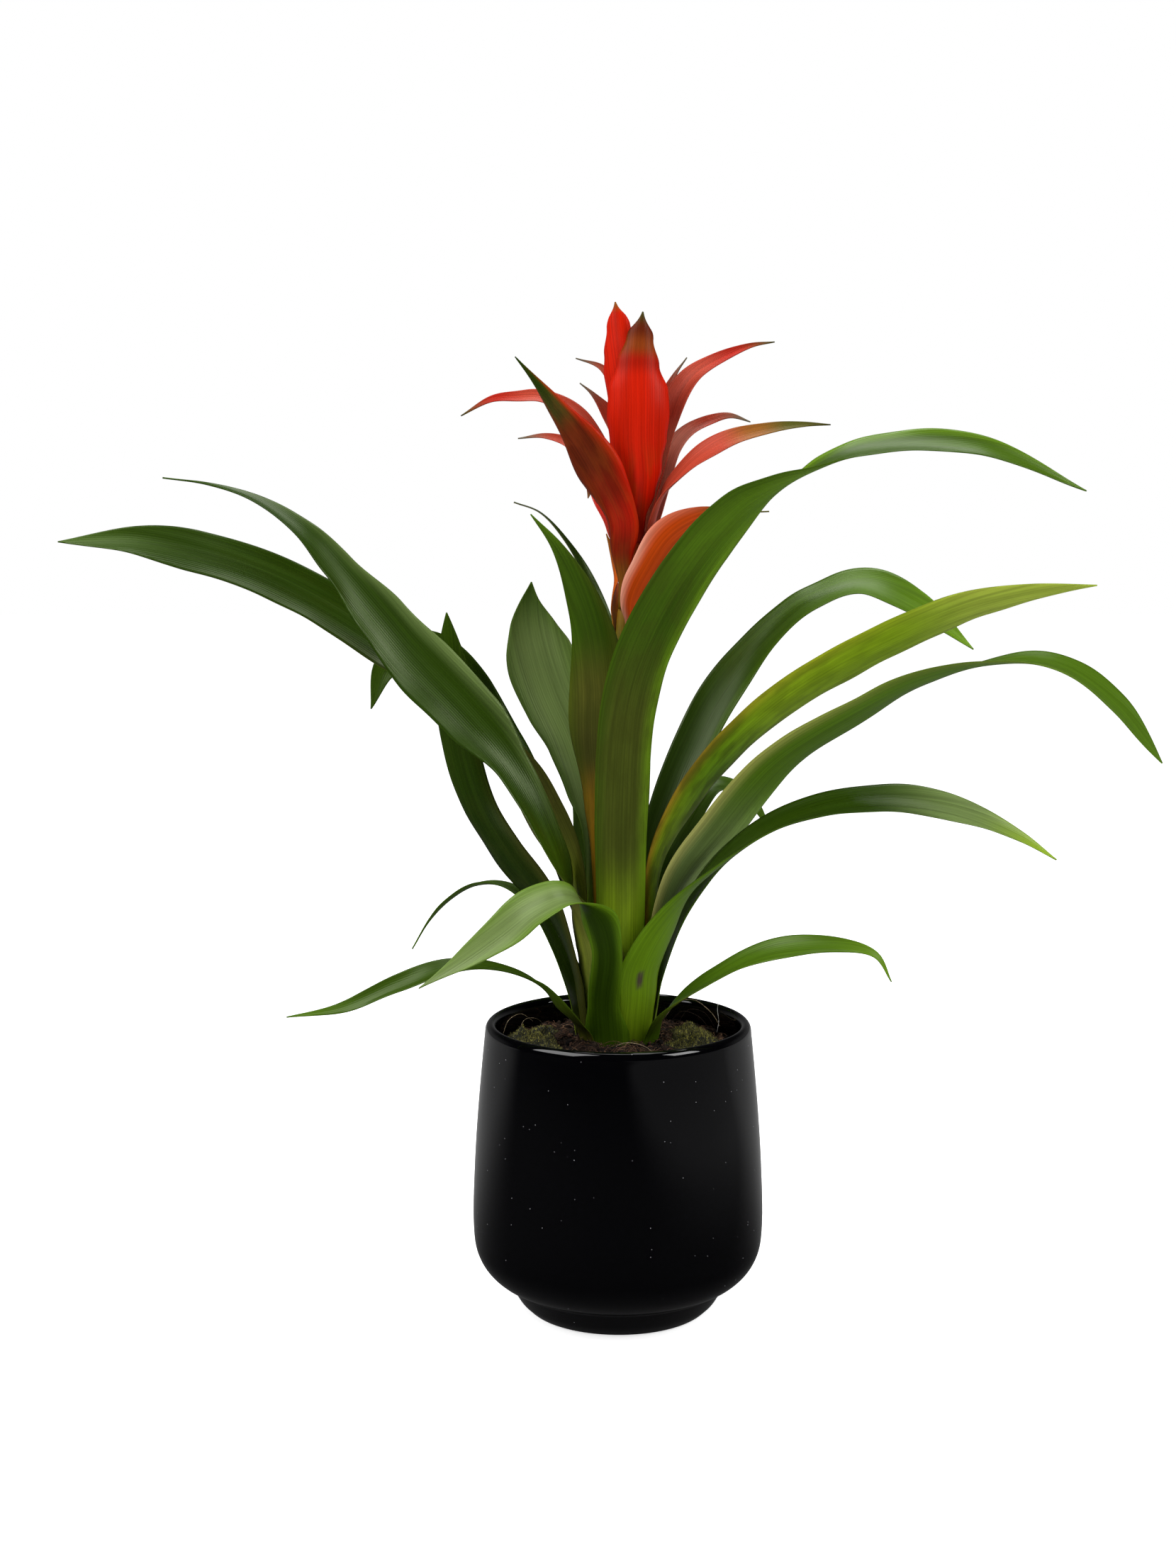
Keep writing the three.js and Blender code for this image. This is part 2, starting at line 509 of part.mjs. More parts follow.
const plant = new THREE.Group();
plant.add(named("pot", potGeometry(), FINISH.pot));
plant.add(named("soil", soilGeometry(), FINISH.soil));
plant.add(named("stem", stemGeometry(), FINISH.stem));
for (const [name, plan] of Object.entries(MOSS)) plant.add(named(name, mossGeometry(plan), FINISH.moss));
for (const [name, plan] of Object.entries(LEAVES)) {
  plant.add(named(name, bladeGeometry(plan, LEAF, leafSheath(plan)), FINISH.leaf));
}
for (const [name, plan] of Object.entries(BRACTS)) {
  plant.add(named(name, bladeGeometry(plan, BRACT, bractSheath(plan)), FINISH.bract));
}

export default plant;
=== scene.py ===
"""A potted guzmania: strap leaves and red bracts round one stalk, in soil and moss in a black glazed pot.

Sizes are in millimetres. Each blade has the named values of its solid, on a finer grid.
"""

import logging
from dataclasses import dataclass, field
from enum import Enum
from typing import ClassVar

import bpy
import numpy as np
from mathutils import Euler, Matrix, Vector


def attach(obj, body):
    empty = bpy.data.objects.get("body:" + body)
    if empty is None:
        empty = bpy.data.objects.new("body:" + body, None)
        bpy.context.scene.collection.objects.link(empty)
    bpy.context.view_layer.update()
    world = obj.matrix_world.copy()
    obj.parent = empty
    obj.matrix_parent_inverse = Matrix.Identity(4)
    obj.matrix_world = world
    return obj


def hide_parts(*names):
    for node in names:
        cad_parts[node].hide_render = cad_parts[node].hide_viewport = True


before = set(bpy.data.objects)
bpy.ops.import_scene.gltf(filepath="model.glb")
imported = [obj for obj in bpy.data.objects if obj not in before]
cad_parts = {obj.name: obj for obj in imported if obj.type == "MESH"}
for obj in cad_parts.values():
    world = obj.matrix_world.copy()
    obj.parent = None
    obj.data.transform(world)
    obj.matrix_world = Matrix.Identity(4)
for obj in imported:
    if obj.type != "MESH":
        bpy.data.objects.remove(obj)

logging.basicConfig(level=logging.INFO, format="%(message)s")
LOG = logging.getLogger("guzmania")

MM = 0.001
UP = np.array([0.0, 0.0, 1.0])
Point = tuple[float, float, float]

# The stalk leans towards +X between two heights
LEAN = 9.0
LEAN_FROM = 290.0
LEAN_TO = 420.0
SCAPE_RADIUS = 4.6

WHITE = (1.0, 1.0, 1.0, 1.0)

# Noise in space: cosines in each octave, and what brings their sums back to about 1
NOISE_WAVES = 7
NOISE_SUM = 2.6
OCTAVE_SUM = 1.6


class Shade(Enum):
    """Colours of the plant, linear red, green and blue."""

    NIGHT = (0.010, 0.024, 0.001)
    DEEP = (0.018, 0.042, 0.001)
    BOTTLE = (0.033, 0.072, 0.002)
    GRASS = (0.062, 0.130, 0.004)
    FRESH = (0.115, 0.225, 0.006)
    LIME = (0.220, 0.340, 0.010)
    PALE = (0.300, 0.380, 0.045)
    STRAW = (0.480, 0.420, 0.130)
    # Painted sheen: a grey-green tone that stands in for light glancing off the waxy leaf faces
    SAGE = (0.135, 0.195, 0.055)
    UMBER = (0.170, 0.085, 0.004)
    OLIVE = (0.080, 0.082, 0.010)
    BARK = (0.042, 0.042, 0.006)
    DRAB = (0.048, 0.062, 0.006)
    RUST = (0.240, 0.085, 0.010)
    SCARLET = (0.500, 0.010, 0.001)
    CRIMSON = (0.330, 0.007, 0.001)
    CORAL = (0.390, 0.045, 0.022)
    FLAME = (0.560, 0.060, 0.004)
    # Painted light: a pale pink for the gloss on a bract and for light shining through the small bracts
    LIT_PINK = (0.760, 0.330, 0.230)
    ORANGE = (0.500, 0.085, 0.005)
    AMBER = (0.480, 0.210, 0.020)
    WINE = (0.170, 0.008, 0.001)
    MAROON = (0.100, 0.012, 0.002)
    CHESTNUT = (0.210, 0.036, 0.004)
    # Painted light: a light salmon for light shining through the small bracts and over a shadow on a bract's
    # foot
    LIT_SALMON = (0.560, 0.170, 0.090)
    ASH = (0.120, 0.110, 0.070)
    SCAR = (0.075, 0.060, 0.038)


def smooth(value: np.ndarray, low: float, high: float) -> np.ndarray:
    """Eases from 0 at low to 1 at high by t * t * (3 - 2 t).

    Args:
        value: Where to read the curve.
        low: Value that gives 0.
        high: Value that gives 1.

    Returns:
        The eased share.
    """
    part = np.clip((value - low) / (high - low), 0.0, 1.0)
    return part * part * (3.0 - 2.0 * part)


def spread(values: np.ndarray, share: np.ndarray) -> np.ndarray:
    """Reads an evenly spread list at shares of the way along it, eased between its members.

    Args:
        values: One row a member.
        share: Places from 0 to 1.

    Returns:
        One row a place.
    """
    values = np.asarray(values, float)
    if len(values) == 1:
        return np.repeat(values, len(share), axis=0)
    place = share * (len(values) - 1)
    first = np.minimum(place.astype(int), len(values) - 2)
    part = smooth(place - first, 0.0, 1.0)
    if values.ndim == 2:
        part = part[:, None]
    return values[first] + (values[first + 1] - values[first]) * part


def unit(vectors: np.ndarray) -> np.ndarray:
    """Vectors of length 1 along the last axis."""
    return vectors / np.linalg.norm(vectors, axis=-1, keepdims=True)


def mix(low: np.ndarray, high: np.ndarray, share: np.ndarray) -> np.ndarray:
    """low + (high - low) * share."""
    return low + (high - low) * share


def lean(height: np.ndarray) -> np.ndarray:
    """How far the stalk has leaned towards +X at a height, in millimetres."""
    return LEAN * smooth(height, LEAN_FROM, LEAN_TO)


def round_stalk(bearing: float, radius: np.ndarray, height: np.ndarray) -> np.ndarray:
    """Points at a bearing and radius round the stalk: (lean + r cos b, r sin b, z).

    Args:
        bearing: Degrees from +X towards +Y.
        radius: Distances from the stalk's middle, in millimetres.
        height: Heights, in millimetres.

    Returns:
        One point a row.
    """
    turn = np.radians(bearing)
    return np.stack([lean(height) + radius * np.cos(turn), radius * np.sin(turn), height], -1)


def ripple(points: np.ndarray, size: float, seed: int, octaves: int = 4) -> np.ndarray:
    """Uneven noise in space: octaves of cosines of random direction and phase, each half as large.

    Args:
        points: One point a row.
        size: Length of the longest waves.
        seed: Seed of the directions and phases.
        octaves: How many times the waves halve.

    Returns:
        One value a point, mostly from -1 to 1.
    """
    rng = np.random.default_rng(seed)
    total = np.zeros(len(points))
    for octave in range(octaves):
        waves = unit(rng.normal(size=(NOISE_WAVES, 3))) * (2.0 * np.pi / size) * 2.0 ** octave
        phase = rng.uniform(0, 2 * np.pi, NOISE_WAVES)
        total += np.cos(points @ waves.T + phase).sum(1) / NOISE_SUM * 0.5 ** octave
    return total / OCTAVE_SUM


class Curve:
    """A centripetal Catmull-Rom curve through points."""

    TABLE: ClassVar[int] = 200
    NEAR: ClassVar[float] = 1e-4

    def __init__(self, points: np.ndarray) -> None:
        """Keeps the points, with one more beyond each end, and the lengths along the curve.

        Args:
            points: The points that the curve goes through.
        """
        points = np.asarray(points, float)
        self.count = len(points)
        self.points = np.vstack([2 * points[0] - points[1], points, 2 * points[-1] - points[-2]])
        self.shares = np.linspace(0.0, 1.0, self.TABLE + 1)
        steps = np.linalg.norm(np.diff(self.at(self.shares), axis=0), axis=1)
        self.lengths = np.concatenate([[0.0], np.cumsum(steps)])

    def at(self, share: np.ndarray) -> np.ndarray:
        """Points of the curve: cubics between two points, with slopes by the root of four points' distances.

        Args:
            share: Places from 0 to 1, spread evenly over the points.

        Returns:
            One point a row.
        """
        place = np.clip(share, 0.0, 1.0) * (self.count - 1)
        first = np.minimum(place.astype(int), self.count - 2)
        part = (place - first)[:, None]
        a, b, c, d = (self.points[first + k] for k in range(4))
        before, here, after = (
            np.sqrt(np.linalg.norm(q - p, axis=1))[:, None] for p, q in ((a, b), (b, c), (c, d))
        )
        here = np.where(here < self.NEAR, 1.0, here)
        before = np.where(before < self.NEAR, here, before)
        after = np.where(after < self.NEAR, here, after)
        start = ((b - a) / before - (c - a) / (before + here) + (c - b) / here) * here
        end = ((c - b) / here - (d - b) / (here + after) + (d - c) / after) * here
        square = 3 * (c - b) - 2 * start - end
        cube = 2 * (b - c) + start + end
        return b + start * part + square * part ** 2 + cube * part ** 3

    def by_length(self, along: np.ndarray) -> np.ndarray:
        """Shares for at() that lie at shares of the curve's length."""
        return np.interp(along * self.lengths[-1], self.lengths, self.shares)

    def course(self, share: np.ndarray) -> np.ndarray:
        """Unit tangents at shares, from points a little before and after."""
        return unit(self.at(share + self.NEAR) - self.at(share - self.NEAR))


def quads_of(rows: int, columns: int, start: int = 0, ring: bool = False) -> np.ndarray:
    """Quads of a grid of points that is stored row by row.

    Args:
        rows: Rows of points.
        columns: Points in a row.
        start: Index of the first point.
        ring: Whether each row closes on itself.

    Returns:
        Four indices a row.
    """
    wide = columns if ring else columns - 1
    i, j = np.meshgrid(np.arange(rows - 1), np.arange(wide), indexing="ij")
    a = (i * columns + j).ravel()
    b = (i * columns + (j + 1) % columns).ravel()
    return np.stack([a, b, b + columns, a + columns], 1) + start


def shell(rows: int, columns: int) -> np.ndarray:
    """Quads of an upper and a lower grid of points, stored one after the other, and of their joined rims.

    Args:
        rows: Rows of points in each grid.
        columns: Points in a row.

    Returns:
        The quads of both grids and of the rims, all facing outwards.
    """
    under = rows * columns
    left = np.arange(rows - 1) * columns
    right = left + columns - 1
    start = np.arange(columns - 1)
    end = start + (rows - 1) * columns
    return np.concatenate([
        quads_of(rows, columns)[:, ::-1],
        quads_of(rows, columns, under),
        np.stack([left, under + left, under + left + columns, left + columns], 1),
        np.stack([right, right + columns, under + right + columns, under + right], 1),
        np.stack([start, start + 1, under + start + 1, under + start], 1),
        np.stack([end, under + end, under + end + 1, end + 1], 1),
    ])


def piece_of(name: str, points: np.ndarray, faces: np.ndarray | list[list[int]],
             tint: np.ndarray | None = None, uv: np.ndarray | None = None, soft: bool = True,
             **fields: np.ndarray) -> bpy.types.Object:
    """Makes an object whose place is in its mesh.

    Args:
        name: Name of the piece.
        points: Points in millimetres.
        faces: Indices, one face a row.
        tint: Linear colour of each point, kept as the attribute tint.
        uv: Place of each point on the flat surface, in metres.
        soft: Whether the faces are shaded as one smooth surface.
        **fields: Further numbers of each point, kept as attributes of these names.

    Returns:
        The object, linked to the scene.
    """
    mesh = bpy.data.meshes.new(name)
    mesh.from_pydata(points * MM, [], faces if isinstance(faces, list) else faces.tolist())
    mesh.update()
    mesh.polygons.foreach_set("use_smooth", np.full(len(faces), soft))
    if tint is not None:
        colour = mesh.attributes.new("tint", "FLOAT_COLOR", "POINT")
        colour.data.foreach_set("color", np.column_stack([tint, np.ones(len(tint))]).ravel())
    for key, values in fields.items():
        mesh.attributes.new(key, "FLOAT", "POINT").data.foreach_set("value", values)
    if uv is not None:
        corner = np.empty(len(mesh.loops), int)
        mesh.loops.foreach_get("vertex_index", corner)
        mesh.uv_layers.new(name="flat").data.foreach_set("uv", uv[corner].ravel())
    made = bpy.data.objects.new(name, mesh)
    bpy.context.scene.collection.objects.link(made)
    return made


def dress(piece: bpy.types.Object, finish: bpy.types.Material, slot: str, *nodes: str) -> bpy.types.Object:
    """Gives a piece its material and body, and the solids that it stands for.

    Args:
        piece: The finished object.
        finish: Its last or only material.
        slot: The record's material slot. Not used.
        *nodes: Names of the solids that it replaces.

    Returns:
        The same object.
    """
    piece.data.materials.append(finish)
    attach(piece, "root")
    if nodes:
        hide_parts(*nodes)
    LOG.info("%s: %d faces", piece.name, len(piece.data.polygons))
    return piece


class Graph:
    """A material's or the world's node tree, built from short calls."""

    def __init__(self, tree: bpy.types.NodeTree) -> None:
        """Empties the tree."""
        self.tree = tree
        tree.nodes.clear()

    def node(self, kind: str, inputs: dict[str | int, object] | None = None,
             **settings: object) -> bpy.types.Node:
        """Adds a node.

        Args:
            kind: The node's type.
            inputs: Sockets to link, or values to set, by name or number.
            **settings: The node's own properties.

        Returns:
            The node.
        """
        made = self.tree.nodes.new(kind)
        for key, value in settings.items():
            setattr(made, key, value)
        for key, value in (inputs or {}).items():
            if isinstance(value, bpy.types.NodeSocket):
                self.tree.links.new(value, made.inputs[key])
            else:
                made.inputs[key].default_value = value
        return made

    def math(self, operation: str, *values: object) -> bpy.types.NodeSocket:
        """The result of a Math node on sockets or numbers."""
        return self.node("ShaderNodeMath", dict(enumerate(values)), operation=operation).outputs[0]

    def scaled(self, vector: bpy.types.NodeSocket, scale: Point) -> bpy.types.NodeSocket:
        """A vector times a scale for each axis."""
        return self.node("ShaderNodeMapping", {"Vector": vector, "Scale": scale}).outputs[0]

    def noise(self, vector: bpy.types.NodeSocket, scale: float, detail: float = 3.0) -> bpy.types.NodeSocket:
        """Noise from 0 to 1 at a scale."""
        inputs = {"Vector": vector, "Scale": scale, "Detail": detail}
        return self.node("ShaderNodeTexNoise", inputs).outputs[0]

    def ease(self, value: bpy.types.NodeSocket, low: float, high: float, start: float = 0.0,
             end: float = 1.0) -> bpy.types.NodeSocket:
        """A value eased from start to end while it goes from low to high."""
        ranged = {"Value": value, "From Min": low, "From Max": high, "To Min": start, "To Max": end}
        return self.node("ShaderNodeMapRange", ranged, interpolation_type="SMOOTHSTEP").outputs[0]

    def blend(self, share: object, low: object, high: object, way: str = "MIX") -> bpy.types.NodeSocket:
        """A colour mixed from two by a share."""
        made = self.node("ShaderNodeMix", {0: share, 6: low, 7: high}, data_type="RGBA", blend_type=way)
        return made.outputs[2]

    def grey(self, value: bpy.types.NodeSocket) -> bpy.types.NodeSocket:
        """A value as a grey colour."""
        return self.node("ShaderNodeCombineColor", {0: value, 1: value, 2: value}).outputs[0]

    def bump(self, height: bpy.types.NodeSocket, depth: float, strength: float) -> bpy.types.NodeSocket:
        """Normals of a bumpy surface, from heights and a depth in metres."""
        inputs = {"Height": height, "Distance": depth, "Strength": strength}
        return self.node("ShaderNodeBump", inputs).outputs[0]

    def place(self) -> bpy.types.NodeSocket:
        """Where a point is on the whole object, in metres."""
        return self.node("ShaderNodeTexCoord").outputs["Object"]

    def parts(self, vector: bpy.types.NodeSocket) -> list[bpy.types.NodeSocket]:
        """The three numbers of a vector."""
        return list(self.node("ShaderNodeSeparateXYZ", {0: vector}).outputs)

    def surface(self, **inputs: object) -> None:
        """Ends the tree with one shader.

        Args:
            **inputs: The shader's sockets. Underscores in their names stand for spaces.
        """
        named = {key.replace("_", " "): value for key, value in inputs.items()}
        shader = self.node("ShaderNodeBsdfPrincipled", named)
        self.node("ShaderNodeOutputMaterial", {"Surface": shader.outputs[0]})


def new_material(name: str) -> tuple[bpy.types.Material, Graph]:
    """Makes an empty node material.

    Args:
        name: The material's name.

    Returns:
        The material and its graph.
    """
    made = bpy.data.materials.new(name)
    made.use_nodes = True
    return made, Graph(made.node_tree)


@dataclass(frozen=True)
class BladeFinish:
    """The skin of one face of a leaf or bract: lines along it, uneven tint, a blush, and a waxy gloss."""

    FINE: ClassVar[Point] = (1300.0, 14.0, 1.0)
    BROAD: ClassVar[Point] = (260.0, 9.0, 1.0)
    PATCH: ClassVar[Point] = (210.0, 55.0, 1.0)
    LINE_WIDTH: ClassVar[float] = 0.0011
    LINE_DEPTH: ClassVar[float] = 0.00003

    name: str
    roughness: float
    specular: float
    gloss: tuple[float, float, float] = (0.85, 1.0, 0.60)
    blush: tuple[float, float, float] = (0.036, 0.044, 0.004)

    def build(self) -> bpy.types.Material:
        """Makes the material.

        The colour is the attribute tint times streaks of noise that is long along the blade, mixed with the
        blush where patches of noise and the attribute blush are high. The bump is the sine of the place
        across the blade, with the streaks on it.

        Returns:
            The material.
        """
        made, graph = new_material(self.name)
        flat = graph.node("ShaderNodeUVMap", uv_map="flat").outputs[0]
        tint = graph.node("ShaderNodeAttribute", attribute_name="tint").outputs["Color"]
        blush = graph.node("ShaderNodeAttribute", attribute_name="blush").outputs["Fac"]
        fine = graph.noise(graph.scaled(flat, self.FINE), 1.0, 2.0)
        broad = graph.noise(graph.scaled(flat, self.BROAD), 1.0, 2.0)
        patch = graph.noise(graph.scaled(flat, self.PATCH), 1.0, 5.0)
        thin_streaks = graph.ease(fine, 0.3, 0.7, 0.84, 1.14)
        wide_streaks = graph.ease(broad, 0.3, 0.7, 0.88, 1.1)
        light = graph.math("MULTIPLY", thin_streaks, wide_streaks)
        base = graph.blend(1.0, tint, graph.grey(light), "MULTIPLY")
        stain = graph.math("MULTIPLY", graph.ease(patch, 0.40, 0.62), blush)
        colour = graph.blend(stain, base, (*self.blush, 1.0))
        across = graph.parts(flat)[0]
        wave = graph.math("SINE", graph.math("MULTIPLY", across, 2.0 * np.pi / self.LINE_WIDTH))
        height = graph.math("ADD", graph.math("MULTIPLY", wave, 0.5), fine)
        rough = graph.ease(broad, 0.3, 0.7, self.roughness - 0.05, self.roughness + 0.06)
        graph.surface(Base_Color=colour, Roughness=rough, Normal=graph.bump(height, self.LINE_DEPTH, 0.8),
                      Specular_IOR_Level=self.specular, Specular_Tint=(*self.gloss, 1.0))
        return made


@dataclass(frozen=True)
class Paint:
    """Colours of a blade. Each list is spread evenly from its foot to its tip."""

    SCAR_LENGTH: ClassVar[float] = 0.016
    SCAR_WIDTH: ClassVar[float] = 0.15
    SCAR_EDGE: ClassVar[tuple[float, float]] = (0.6, 1.3)
    MARGIN_START: ClassVar[float] = 0.45

    upper: tuple[Shade, ...] = (Shade.PALE, Shade.GRASS, Shade.BOTTLE, Shade.BOTTLE, Shade.GRASS)
    under: tuple[Shade, ...] = (Shade.PALE, Shade.GRASS, Shade.BOTTLE, Shade.BOTTLE, Shade.GRASS)
    left: Shade | None = None
    right: Shade | None = None
    margin: tuple[float, ...] = (0.7, 0.6, 0.3)
    blush: tuple[float, ...] = (0.0, 0.1, 0.0)
    scar: tuple[float, float] | None = None

    def tint(self, along: np.ndarray, across: np.ndarray, over: bool) -> np.ndarray:
        """Colours of a face's points: the list along the blade, with the margins' shades near the edges.

        Args:
            along: Share of the length of each row.
            across: Place across of each column, from -1 to 1.
            over: Whether it is the upper face.

        Returns:
            One colour a point, row by row.
        """
        shades = np.array([shade.value for shade in (self.upper if over else self.under)])
        colour = np.repeat(spread(shades, along)[:, None], len(across), axis=1)
        amount = spread(np.array(self.margin), along)[:, None]
        for side, shade in ((-1, self.left), (1, self.right)):
            if shade:
                share = (amount * smooth(side * across, self.MARGIN_START, 1.0)[None])[..., None]
                colour = mix(colour, np.array(shade.value), share)
        if self.scar:
            place, side = self.scar
            far_along = (along[:, None] - place) / self.SCAR_LENGTH
            reach = np.hypot(far_along, (across[None] - side) / self.SCAR_WIDTH)
            share = (1.0 - smooth(reach, *self.SCAR_EDGE))[..., None]
            colour = mix(colour, np.array(Shade.SCAR.value), share)
        return colour.reshape(-1, 3)


# A short name for the paints below
S = Shade
PLAIN_LEAF = Paint()
PLAIN_BRACT = Paint(
    upper=(S.ORANGE, S.CORAL, S.SCARLET, S.CORAL, S.RUST),
    under=(S.ORANGE, S.SCARLET, S.SCARLET, S.CRIMSON, S.RUST),
)
# The salmon and pink of the small bracts are painted light, as if shining through the thin bracts
SMALL_BRACT = Paint(
    upper=(S.LIT_SALMON, S.LIT_SALMON, S.LIT_PINK, S.LIT_PINK, S.CORAL, S.ASH),
    under=(S.CORAL, S.LIT_SALMON, S.LIT_SALMON, S.CORAL, S.CRIMSON, S.ASH),
)
SMALL_BRACTS = (
    "bract_right_curled", "bract_right_small", "bract_left_curled", "bract_left_high", "bract_left_thin",
)
